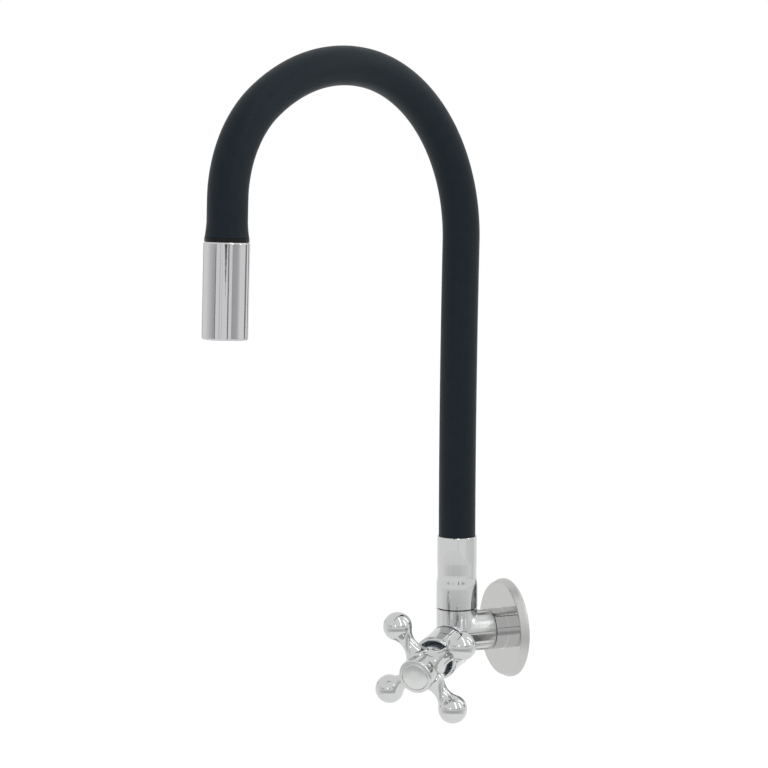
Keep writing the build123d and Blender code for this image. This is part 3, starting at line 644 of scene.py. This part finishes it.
def deselect() -> None:
    """Leave edit mode and select nothing."""
    if bpy.context.object and bpy.context.object.mode != "OBJECT":
        bpy.ops.object.mode_set(mode="OBJECT")
    bpy.ops.object.select_all(action="DESELECT")


def apply_modifier(piece: bpy.types.Object, kind: str, **settings: Any) -> None:
    """Add a modifier to a piece and apply it.

    Args:
        piece: The piece.
        kind: The modifier's type.
        settings: The modifier's settings.
    """
    deselect()
    piece.select_set(True)
    bpy.context.view_layer.objects.active = piece
    modifier = piece.modifiers.new(kind.lower(), kind)
    for name, value in settings.items():
        setattr(modifier, name, value)
    bpy.ops.object.modifier_apply(modifier=modifier.name)


def dress(finish: Finishes, *nodes: str) -> None:
    """Dress CAD nodes in a finish.

    Args:
        finish: The finish.
        nodes: The nodes' names.
    """
    for node in nodes:
        finish.on(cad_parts[node])
        log.info("dressed %s", node)


# Sub-assemblies


@dataclass(frozen=True)
class Route:
    """The line that the gooseneck hose follows, in one upright plane.

    A place on it is its length from the base ferrule's lip. A bend is a radius and
    an angle in degrees, both below zero where the hose leans back.
    """

    foot: tuple[float, float, float] = (0.0, -0.0310, 0.0)
    side_angle: float = 24.7
    lip: float = 0.0535
    rise: float = 0.0030
    bends: tuple[tuple[float, float], ...] = (
        (-4.8080, -1.87), (0.0894, 83.80), (0.1035, 43.20), (0.05985, 52.65),
    )
    leg: float = 0.0205
    end_reach: float = 0.0220
    hinge_count: int = 9

    @property
    def out(self) -> Vector:
        """The level direction in which the hose arches."""
        angle = math.radians(self.side_angle)
        return Vector((math.sin(angle), -math.cos(angle), 0.0))

    @property
    def across(self) -> Vector:
        """The level direction square to the hose's plane."""
        return self.out.cross(Vector((0.0, 0.0, 1.0)))

    def stretches(self) -> list[tuple[float, float, float]]:
        """The line's stretches.

        Returns:
            A start place, an end place and a curvature for each stretch.
        """
        place = self.rise
        stretches = [(-self.lip, place, 0.0)]
        for radius, angle in self.bends:
            end = place + radius * math.radians(angle)
            stretches.append((place, end, 1 / radius))
            place = end
        stretches.append((place, place + self.leg, 0.0))
        return stretches

    @property
    def end(self) -> float:
        """The place where the hose meets the nozzle."""
        return self.stretches()[-1][1]

    def at(self, place: float) -> tuple[Vector, Vector]:
        """Follow the line.

        Args:
            place: A place on the line.

        Returns:
            The point there and the line's direction there.
        """
        out, height, lean = 0.0, 0.0, 0.0
        for start, end, curve in self.stretches():
            length = min(place, end) - start
            if curve:
                turned = lean + length * curve
                out += (math.cos(lean) - math.cos(turned)) / curve
                height += (math.sin(turned) - math.sin(lean)) / curve
                lean = turned
            else:
                out += length * math.sin(lean)
                height += length * math.cos(lean)
            if place <= end:
                break
        up = Vector((0.0, 0.0, 1.0))
        point = Vector(self.foot) + self.out * out + up * height
        return point, self.out * math.sin(lean) + up * math.cos(lean)

    def hinges(self) -> list[float]:
        """The places of the hinges, spaced evenly along the hose."""
        step = (self.end - 2 * self.end_reach) / (self.hinge_count - 1)
        return [self.end_reach + step * index for index in range(self.hinge_count)]


@dataclass(frozen=True)
class Layer:
    """A soft tube in the hose, cut midway between its hinges.

    Its start is a place on the route, and its end lies a gap before the route's end.
    """

    name: str
    node: str
    slot: str
    finish: Finishes
    radius: float
    wall: float
    start: float
    end_gap: float
    bend_reach: float
    sides: int
    flared: bool = False


@dataclass
class Hose:
    """The gooseneck hose: its two soft tubes, in one piece a hinge, and its links."""

    route: Route = field(default_factory=Route)
    sleeve: Layer = Layer(
        name="hose_sleeve", node="silicone_sleeve", slot="silicone", finish=Finishes.SILICONE,
        radius=0.0100, wall=0.0013, start=-0.0232, end_gap=0.0020, bend_reach=0.0249,
        sides=72, flared=True,
    )
    liner: Layer = Layer(
        name="water_tube", node="water_hose", slot="rubber", finish=Finishes.WATER_HOSE,
        radius=0.0053, wall=0.0015, start=-0.0274, end_gap=0.0001, bend_reach=0.0050,
        sides=48,
    )
    flare_radius: float = 0.0108
    flare_length: float = 0.0080
    flare_power: float = 1.6
    flare_steps: int = 8
    step: float = 0.0020
    smooth_angle: float = 40.0

    def build(self) -> None:
        """Make both tubes and dress the links between them."""
        for layer in (self.sleeve, self.liner):
            self._layer(layer)
        for index in range(1, self.route.hinge_count + 2):
            dress(Finishes.STEEL, f"gooseneck_core_{index}")

    def _layer(self, layer: Layer) -> None:
        """Make a soft tube, one piece to a hinge.

        Args:
            layer: The tube's sizes, its finish and the nodes that it stands for.
        """
        hinges = self.route.hinges()
        joins = [(low + high) / 2 for low, high in zip(hinges, hinges[1:])]
        starts = [layer.start] + joins
        ends = joins + [self.route.end - layer.end_gap]
        links = [f"hose_link_{index}" for index in range(2, len(hinges) + 1)]
        bodies = ["spout_base", *links, "nozzle"]
        for index, hinge in enumerate(hinges):
            last = index == len(hinges) - 1
            piece = self._tube(
                f"{layer.name}_{index + 1}", layer, starts[index], ends[index],
                last and layer.flared,
            )
            stood_for = [f"{layer.node}_{index + 1}"]
            if last:
                stood_for.append(f"{layer.node}_{index + 2}")
            for node in stood_for:
                dress(layer.finish, node)
            layer.finish.on(piece)
            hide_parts(*stood_for)
            bend_start = self.route.at(hinge - layer.bend_reach)[0]
            bend_end = self.route.at(hinge + layer.bend_reach)[0]
            bodies[index + 1]
            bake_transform(piece)
            log.info("made %s", piece.name)

    def _tube(
        self, name: str, layer: Layer, start: float, end: float, flared: bool
    ) -> bpy.types.Object:
        """Run a tube along the route.

        Args:
            name: The new piece's name.
            layer: The tube's radius, wall and sides.
            start: The place where it starts.
            end: The place where it ends.
            flared: Whether its end widens onto the gasket.

        Returns:
            The new piece.
        """
        deselect()
        point, direction = self.route.at(start)
        bpy.ops.mesh.primitive_circle_add(
            vertices=layer.sides, radius=layer.radius, fill_type="NOTHING",
            location=point, rotation=direction.to_track_quat("Z", "Y").to_euler(),
        )
        tube = bpy.context.object
        tube.name = name
        bpy.ops.object.transform_apply(location=True, rotation=True, scale=True)
        bpy.ops.object.mode_set(mode="EDIT")
        bpy.ops.mesh.select_all(action="SELECT")
        straight_end = end - self.flare_length if flared else end
        for low, high, curve in self.route.stretches():
            low, high = max(low, start), min(high, straight_end)
            if high > low:
                self._run(low, high, curve)
        if flared:
            self._flare(layer.radius, straight_end, end)
        bpy.ops.mesh.select_all(action="SELECT")
        bpy.ops.mesh.normals_make_consistent(inside=False)
        bpy.ops.object.mode_set(mode="OBJECT")
        self._face_outwards(tube, layer.sides)
        apply_modifier(
            tube, "SOLIDIFY", thickness=layer.wall, offset=-1.0, use_even_offset=True
        )
        bpy.ops.object.shade_smooth_by_angle(angle=math.radians(self.smooth_angle))
        return tube

    def _run(self, low: float, high: float, curve: float) -> None:
        """Draw the selected ring along one stretch of the route.

        Args:
            low: The place where the ring is.
            high: The place that it is drawn to.
            curve: The stretch's curvature, or zero where it is straight.
        """
        steps = max(1, round((high - low) / self.step))
        point, direction = self.route.at(low)
        if curve:
            inward = direction.cross(self.route.across)
            bpy.ops.mesh.spin(
                steps=steps, angle=(low - high) * curve, center=point + inward / curve,
                axis=-self.route.across,
            )
        else:
            for _ in range(steps):
                move = direction * (high - low) / steps
                bpy.ops.mesh.extrude_edges_move(TRANSFORM_OT_translate={"value": move})

    def _flare(self, narrow: float, low: float, high: float) -> None:
        """Widen the tube's end smoothly.

        Args:
            narrow: The tube's radius before it widens.
            low: The place where it starts to widen.
            high: The place where it ends.
        """
        last = narrow
        for index in range(1, self.flare_steps + 1):
            share = index / self.flare_steps
            centre, direction = self.route.at(low + (high - low) * share)
            move = direction * (high - low) / self.flare_steps
            bpy.ops.mesh.extrude_edges_move(TRANSFORM_OT_translate={"value": move})
            radius = narrow + (self.flare_radius - narrow) * share**self.flare_power
            scale = radius / last
            bpy.ops.transform.resize(value=(scale, scale, scale), center_override=centre)
            last = radius

    @staticmethod
    def _face_outwards(tube: bpy.types.Object, sides: int) -> None:
        """Turn the faces round if the tube's first ring faces its own middle.

        Args:
            tube: The tube, before it has a wall.
            sides: How many points its rings have.
        """
        ring = [vertex.co for vertex in tube.data.vertices[:sides]]
        middle = sum(ring, Vector()) / len(ring)
        first = min(tube.data.polygons, key=lambda face: (face.center - ring[0]).length)
        if (first.center - middle).dot(first.normal) < 0:
            tube.data.flip_normals()


@dataclass
class Valve:
    """The valve: its casting with the inlet's pipe thread, flange and cartridge."""

    thread_radius: float = 0.01048
    thread_root: float = 0.00932
    thread_pitch: float = 0.001814
    thread_start: float = 0.0007
    thread_end: float = 0.0070
    thread_crest: float = 0.00035
    thread_steps: int = 96
    smooth_angle: float = 30.0

    def build(self) -> None:
        """Make the casting and its thread, and dress the valve's pieces."""
        casting = self._casting()
        thread = self._thread()
        for piece in (casting, thread):
            Finishes.SEAMED.on(piece)
            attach(piece, "valve")
            log.info("made %s", piece.name)
        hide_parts("valve_body")
        dress(Finishes.SEAMED, "valve_body", "bonnet_shroud")
        dress(Finishes.FLANGE, "wall_flange")
        dress(Finishes.PLATE, "cartridge_housing")
        dress(Finishes.RUBBER, "seat_seal", "bonnet_o_ring")
        dress(Finishes.CERAMIC, "fixed_ceramic_disc")

    def _casting(self) -> bpy.types.Object:
        """Copy the CAD casting and turn its inlet down to the thread's root.

        Returns:
            The copy.
        """
        deselect()
        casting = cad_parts["valve_body"].copy()
        casting.data = casting.data.copy()
        casting.parent = None
        casting.name = "valve_casting"
        bpy.context.scene.collection.objects.link(casting)
        casting.select_set(True)
        bpy.context.view_layer.objects.active = casting
        bpy.ops.object.mode_set(mode="EDIT")
        bpy.ops.mesh.select_all(action="SELECT")
        bpy.ops.mesh.remove_doubles(threshold=MERGE_DISTANCE)
        for place in (self.thread_start - self.thread_crest, self.thread_start):
            bpy.ops.mesh.select_all(action="SELECT")
            bpy.ops.mesh.bisect(plane_co=(0, place, 0), plane_no=(0, 1, 0))
        bpy.ops.object.mode_set(mode="OBJECT")
        least = (self.thread_root + self.thread_radius) / 2
        for vertex in casting.data.vertices:
            reach = math.hypot(vertex.co.x, vertex.co.z)
            if vertex.co.y > self.thread_start - TOLERANCE and reach > least:
                vertex.co.x *= self.thread_root / reach
                vertex.co.z *= self.thread_root / reach
        return casting

    def _thread(self) -> bpy.types.Object:
        """Wind the pipe thread's ridge round the inlet.

        Returns:
            The new piece.
        """
        deselect()
        bpy.ops.mesh.primitive_plane_add(size=1.0)
        thread = bpy.context.object
        thread.name = "inlet_thread"
        foot = self.thread_root - self.thread_crest / 2
        near = self.thread_start
        flank = (self.thread_pitch - self.thread_crest) / 2
        corners = (
            (foot, near), (self.thread_radius, near + flank),
            (foot, near + self.thread_pitch),
            (self.thread_radius, near + flank + self.thread_crest),
        )
        for vertex, (reach, place) in zip(thread.data.vertices, corners):
            vertex.co = (reach, place, 0.0)
        bpy.ops.object.mode_set(mode="EDIT")
        bpy.ops.mesh.select_all(action="SELECT")
        bpy.ops.mesh.delete(type="ONLY_FACE")
        bpy.ops.object.mode_set(mode="OBJECT")
        turns = (self.thread_end - near) / self.thread_pitch - 1
        steps = round(self.thread_steps * turns)
        apply_modifier(
            thread, "SCREW", axis="Y", angle=2 * math.pi * turns, iterations=1,
            screw_offset=self.thread_pitch * turns, steps=steps, render_steps=steps,
            use_smooth_shade=False,
        )
        bpy.ops.object.mode_set(mode="EDIT")
        bpy.ops.mesh.select_all(action="SELECT")
        bpy.ops.mesh.fill_holes(sides=len(corners))
        bpy.ops.mesh.select_all(action="SELECT")
        bpy.ops.mesh.normals_make_consistent(inside=False)
        bpy.ops.object.mode_set(mode="OBJECT")
        bpy.ops.object.shade_smooth_by_angle(angle=math.radians(self.smooth_angle))
        return thread


@dataclass
class Handle:
    """The cross handle, its index cap, and what turns with it."""

    cap_front: float = 0.0552
    rim_radius: float = 0.00945
    rim_depth: float = 0.0046
    rim_round: float = 0.0012
    rim_segments: int = 6
    disc_radius: float = 0.0076
    groove: float = 0.0003
    sides: int = 96
    squareness: float = 0.9
    smooth_angle: float = 35.0

    def build(self) -> None:
        """Make the index cap and dress the handle's pieces."""
        self._index_cap()
        dress(Finishes.CHROME, "cross_handle")
        dress(Finishes.CAP, "index_cap")
        dress(Finishes.PLATE, "spindle")
        dress(Finishes.STEEL, "handle_screw", "spindle_clip")
        dress(Finishes.RUBBER, "spindle_o_rings")
        dress(Finishes.CERAMIC, "moving_ceramic_disc")

    def _index_cap(self) -> None:
        """Make the index cap: a bare satin disc in a rounded chrome rim."""
        deselect()
        bpy.ops.mesh.primitive_cylinder_add(
            vertices=self.sides, radius=self.rim_radius, depth=self.rim_depth,
            location=BONNET.at(self.cap_front - self.rim_depth / 2),
            rotation=BONNET.direction.to_track_quat("Z", "Y").to_euler(),
        )
        cap = bpy.context.object
        cap.name = "index_cap_face"
        bpy.ops.object.transform_apply(location=True, rotation=True, scale=True)
        self._pick_front(cap)
        crown = self.groove / 3
        insets = (
            (self.rim_radius - self.disc_radius, 0.0), (self.groove, -self.groove),
            (self.groove, self.groove), (self.groove, crown), (self.disc_radius / 2, crown),
            (self.disc_radius / 4, 0.0),
        )
        for thickness, depth in insets:
            bpy.ops.mesh.inset(thickness=thickness, depth=depth)
        bpy.ops.object.mode_set(mode="OBJECT")
        self._round_rim(cap)
        bpy.ops.object.shade_smooth_by_angle(angle=math.radians(self.smooth_angle))
        Finishes.CHROME.on(cap)
        cap.data.materials.append(Finishes.CAP.value.material())
        front = BONNET.at(self.cap_front)
        for face in cap.data.polygons:
            aside = face.center - front
            height = aside.dot(BONNET.direction)
            if abs(height) < 2 * self.groove and aside.length < self.disc_radius - self.groove:
                face.material_index = 1
        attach(cap, "handle")
        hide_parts("index_cap")
        log.info("made %s", cap.name)

    def _pick_front(self, cap: bpy.types.Object) -> None:
        """Select the cap's front face and enter edit mode.

        Args:
            cap: The cap, a plain cylinder on the bonnet's axis.
        """
        bpy.ops.object.mode_set(mode="EDIT")
        bpy.ops.mesh.select_all(action="DESELECT")
        bpy.ops.object.mode_set(mode="OBJECT")
        for face in cap.data.polygons:
            face.select = face.normal.dot(BONNET.direction) > self.squareness
        bpy.ops.object.mode_set(mode="EDIT")
        bpy.ops.mesh.select_mode(type="FACE")

    def _round_rim(self, cap: bpy.types.Object) -> None:
        """Round the rim's front edges.

        Args:
            cap: The cap, with its disc already inset.
        """
        bpy.ops.object.mode_set(mode="EDIT")
        bpy.ops.mesh.select_mode(type="EDGE")
        bpy.ops.mesh.select_all(action="DESELECT")
        bpy.ops.object.mode_set(mode="OBJECT")
        front = BONNET.at(self.cap_front)
        for edge in cap.data.edges:
            ends = [cap.data.vertices[index].co - front for index in edge.vertices]
            edge.select = all(
                abs(end.dot(BONNET.direction)) < TOLERANCE
                and abs(end.length - self.rim_radius) < TOLERANCE for end in ends
            )
        bpy.ops.object.mode_set(mode="EDIT")
        bpy.ops.mesh.bevel(offset=self.rim_round, segments=self.rim_segments, affect="EDGES")
        bpy.ops.object.mode_set(mode="OBJECT")


@dataclass
class SpoutBase:
    """The ferrule at the foot of the hose, and the tail that turns in the valve."""

    def build(self) -> None:
        """Dress the spout base's pieces."""
        dress(Finishes.CHROME, "base_ferrule")
        dress(Finishes.BRASS, "spout_tail")
        dress(Finishes.STEEL, "retaining_ring", "base_crimp_ring")
        dress(Finishes.RUBBER, "spout_o_rings")
        dress(Finishes.PLASTIC, "slide_washer")


@dataclass
class Nozzle:
    """The nozzle: its shell, gasket, connector and aerator."""

    def build(self) -> None:
        """Dress the nozzle's pieces."""
        dress(Finishes.NOZZLE, "nozzle_shell")
        dress(Finishes.GASKET, "nozzle_gasket")
        dress(Finishes.BRASS, "outlet_connector")
        dress(Finishes.STEEL, "nozzle_crimp_ring", "aerator_screen")
        dress(Finishes.RUBBER, "aerator_washer")
        dress(Finishes.PLASTIC, "aerator_insert")


# Stage and view


@dataclass(frozen=True)
class Card:
    """An upright grey card that the chrome reflects.

    Bearings are in degrees to the right of the camera, heights are those of the
    card's lower and upper edges, and tones are its brightness at its left and right.
    Its foot is its width below as a share of its width above. Its lower and upper
    edges fade over a soft share of its height.
    """

    name: str
    left: float
    right: float
    tone: float
    end_tone: float
    low: float = 0.05
    high: float = 0.25
    foot: float = 1.0
    soft: float = 0.06


@dataclass(frozen=True)
class Strip:
    """A strip light that faces the handle.

    Its bearing and the heights of its ends are in degrees, as seen from the handle.
    """

    name: str
    bearing: float
    low: float
    high: float
    width: float
    radiance: float
    far: float = 1.3


@dataclass
class Studio:
    """A plain white tent with a pale floor, soft lights and a few dark cards."""

    floor_height: float = -0.30
    floor_size: float = 12.0
    floor_tone: float = 0.80
    floor_white: float = 1.02
    white: float = 1.0
    nozzle_place: tuple[float, float] = (0.072, -0.189)
    handle_place: tuple[float, float, float] = (0.028, -0.064, -0.012)
    nozzle_distance: float = 1.15
    nozzle_cards: tuple[Card, ...] = (
        Card("card_rim_left", -150.0, -141.0, 0.42, 0.42),
        Card("card_side_left", -108.0, -54.0, 1.05, 0.52),
        Card("card_line_left", -53.0, -46.0, 0.36, 0.36),
        Card("card_faint_left", -28.0, -24.0, 0.70, 0.70),
        Card("card_faint_middle", -16.0, -13.5, 0.75, 0.75),
        Card("card_wedge", -9.0, 12.0, 0.13, 0.13, low=0.180, high=0.262, foot=0.0),
        Card("card_line_right", 12.0, 18.0, 0.22, 0.22, foot=0.8),
        Card("card_plateau", 33.0, 61.0, 0.53, 0.60),
        Card("card_side_right", 61.0, 80.0, 0.60, 1.05),
        Card("card_rim_right", 109.0, 121.0, 0.26, 0.26),
        Card("card_low_line", 8.0, 14.0, 0.86, 0.86, low=-0.28, high=-0.06),
        Card("card_low_right", 55.0, 115.0, 0.96, 0.84, low=-0.28, high=-0.06),
    )
    band_distance: float = 0.25
    band_span: float = 40.0
    band_tones: tuple[float, ...] = (0.95, 0.66, 0.60, 0.60, 0.66, 0.95)
    band_low: float = -0.165
    band_high: float = -0.005
    band_soft: float = 0.35
    strips: tuple[Strip, ...] = (
        Strip("strip_near", 30.0, 14.0, 82.0, 0.10, 4.0),
        Strip("strip_blob", -18.0, 12.0, 19.0, 0.14, 3.0),
        Strip("strip_right", 72.0, 12.0, 46.0, 0.10, 4.0),
        Strip("strip_far_right", 108.0, 20.0, 55.0, 0.10, 2.5),
    )

    def build(self) -> None:
        """Make the world, the floor, the cards and the lights."""
        self._world()
        self._floor()
        for card in self.nozzle_cards:
            self._card(card, self.nozzle_place, self.nozzle_distance)
        for card in self._band():
            self._card(card, self.handle_place[:2], self.band_distance)
        for strip in self.strips:
            self._strip(strip)

    def _band(self) -> list[Card]:
        """Plan the band of cards that the handle reflects, darkest in its middle.

        Returns:
            The cards, side by side from left to right.
        """
        cards = []
        left = -self.band_span * (len(self.band_tones) - 1) / 2
        for index, (tone, end_tone) in enumerate(zip(self.band_tones, self.band_tones[1:])):
            cards.append(Card(
                f"card_band_{index}", left, left + self.band_span, tone, end_tone,
                low=self.band_low, high=self.band_high, soft=self.band_soft,
            ))
            left += self.band_span
        return cards

    def _world(self) -> None:
        """Light the tent evenly: white to every ray."""
        world = bpy.data.worlds.new("tent")
        bpy.context.scene.world = world
        graph = Graph(world)
        white = graph.add("ShaderNodeBackground", {}, {"Color": rgba(1.0), "Strength": self.white})
        graph.add("ShaderNodeOutputWorld", {}, {"Surface": white})

    @staticmethod
    def _level(bearing: float) -> Vector:
        """Find a level direction.

        Args:
            bearing: Its angle in degrees to the right of the camera's.

        Returns:
            The direction.
        """
        back = Vector((*TOWARDS_CAMERA[:2], 0.0)).normalized()
        right = Vector((-back.y, back.x, 0.0))
        angle = math.radians(bearing)
        return back * math.cos(angle) + right * math.sin(angle)

    def _floor(self) -> None:
        """Lay the pale floor."""
        deselect()
        bpy.ops.mesh.primitive_plane_add(size=self.floor_size, location=(0, 0, self.floor_height))
        floor = bpy.context.object
        floor.name = "floor"
        made = bpy.data.materials.new("floor_paper")
        graph = Graph(made)
        rays = [
            graph.add("ShaderNodeLightPath", output=f"Is {kind} Ray")
            for kind in ("Camera", "Glossy", "Transmission")
        ]
        seen = (rays[0] + rays[1] + rays[2]).clamped()
        matte = graph.add("ShaderNodeBsdfDiffuse", {}, {"Color": rgba(self.floor_tone)})
        glow = graph.add(
            "ShaderNodeEmission", {},
            {"Color": rgba(1.0), "Strength": seen * (self.floor_white - self.floor_tone)},
        )
        both = graph.add("ShaderNodeAddShader", {}, {0: matte, 1: glow})
        graph.add("ShaderNodeOutputMaterial", {}, {"Surface": both})
        floor.data.materials.append(made)

    @staticmethod
    def _paint(card: Card, made: bpy.types.Object) -> None:
        """Paint a card, and let only reflections see it.

        Args:
            card: The card's tones, and how softly its edges fade into the tent's white.
            made: The card's object.
        """
        material = bpy.data.materials.new(f"{card.name}_paint")
        graph = Graph(material)
        place = graph.add("ShaderNodeTexCoord", output="UV")
        across, up = (
            graph.add("ShaderNodeSeparateXYZ", {}, {"Vector": place}, axis) for axis in ("X", "Y")
        )
        inside = (up * (1 / card.soft)).clamped() * ((1 - up) * (1 / card.soft)).clamped()
        tone = card.tone + (card.end_tone - card.tone) * across
        shine = graph.add(
            "ShaderNodeEmission", {},
            {"Color": rgba(1.0), "Strength": inside * (tone - 1) + 1},
        )
        graph.add("ShaderNodeOutputMaterial", {}, {"Surface": shine})
        made.data.materials.append(material)
        made.visible_camera = False
        made.visible_diffuse = False
        made.visible_shadow = False

    def _card(self, card: Card, centre: tuple[float, float], distance: float) -> None:
        """Stand one card up, facing a place, narrower at its foot if it says so.

        Args:
            card: The card's place, size and tones.
            centre: The place that it faces and that its bearings are taken from.
            distance: How far it stands from there.
        """
        deselect()
        toward = self._level((card.left + card.right) / 2)
        reach = math.tan(math.radians(card.right - card.left) / 2)
        place = Vector((*centre, 0.0)) + toward * distance
        place.z = (card.low + card.high) / 2
        bpy.ops.mesh.primitive_plane_add(
            size=1.0, location=place,
            rotation=(math.pi / 2, 0, math.atan2(toward.y, toward.x) + math.pi / 2),
        )
        made = bpy.context.object
        made.name = card.name
        made.scale = (2 * reach * distance, card.high - card.low, 1.0)
        bpy.ops.object.transform_apply(location=True, rotation=True, scale=True)
        for vertex in made.data.vertices:
            if vertex.co.z < place.z:
                aside = vertex.co - place
                aside.z = 0.0
                vertex.co -= aside * (1 - card.foot)
        self._paint(card, made)

    def _strip(self, strip: Strip) -> None:
        """Hang one strip light, facing the handle.

        Args:
            strip: The light's size, place and brightness.
        """
        middle = math.radians((strip.low + strip.high) / 2)
        toward = self._level(strip.bearing) * math.cos(middle) + Vector((0, 0, math.sin(middle)))
        length = 2 * strip.far * math.tan(math.radians(strip.high - strip.low) / 2)
        data = bpy.data.lights.new(strip.name, "AREA")
        data.shape = "RECTANGLE"
        data.size = strip.width
        data.size_y = length
        data.energy = strip.radiance * math.pi * strip.width * length
        light = bpy.data.objects.new(strip.name, data)
        up = Vector((0, 0, 1))
        side = up.cross(toward).normalized()
        light.matrix_world = Matrix.LocRotScale(
            Vector(self.handle_place) + toward * strip.far,
            Matrix((side, toward.cross(side), toward)).transposed().to_quaternion(), None,
        )
        light.visible_camera = False
        bpy.context.scene.collection.objects.link(light)


@dataclass
class PhotoCamera:
    """The photograph's camera."""

    place: tuple[float, float, float] = (1.13932, -0.57726, 0.27493)
    lens: float = 110.0
    sensor: float = 36.0

    def build(self) -> None:
        """Make the camera and use it."""
        data = bpy.data.cameras.new("camera")
        data.lens = self.lens
        data.sensor_width = self.sensor
        camera = bpy.data.objects.new("camera", data)
        camera.location = self.place
        look = -Vector(TOWARDS_CAMERA)
        camera.rotation_euler = look.to_track_quat("-Z", "Y").to_euler()
        bpy.context.scene.collection.objects.link(camera)
        bpy.context.scene.camera = camera


def main() -> None:
    """Build the faucet's looks, its studio and its camera."""
    logging.basicConfig(level=logging.INFO, format="%(message)s")
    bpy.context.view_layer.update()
    for part in (Valve(), Handle(), SpoutBase(), Hose(), Nozzle()):
        part.build()
        log.info("built %s", type(part).__name__)
    Studio().build()
    PhotoCamera().build()
    bpy.context.scene.view_settings.view_transform = "Standard"


if __name__ == "__main__":
    main()
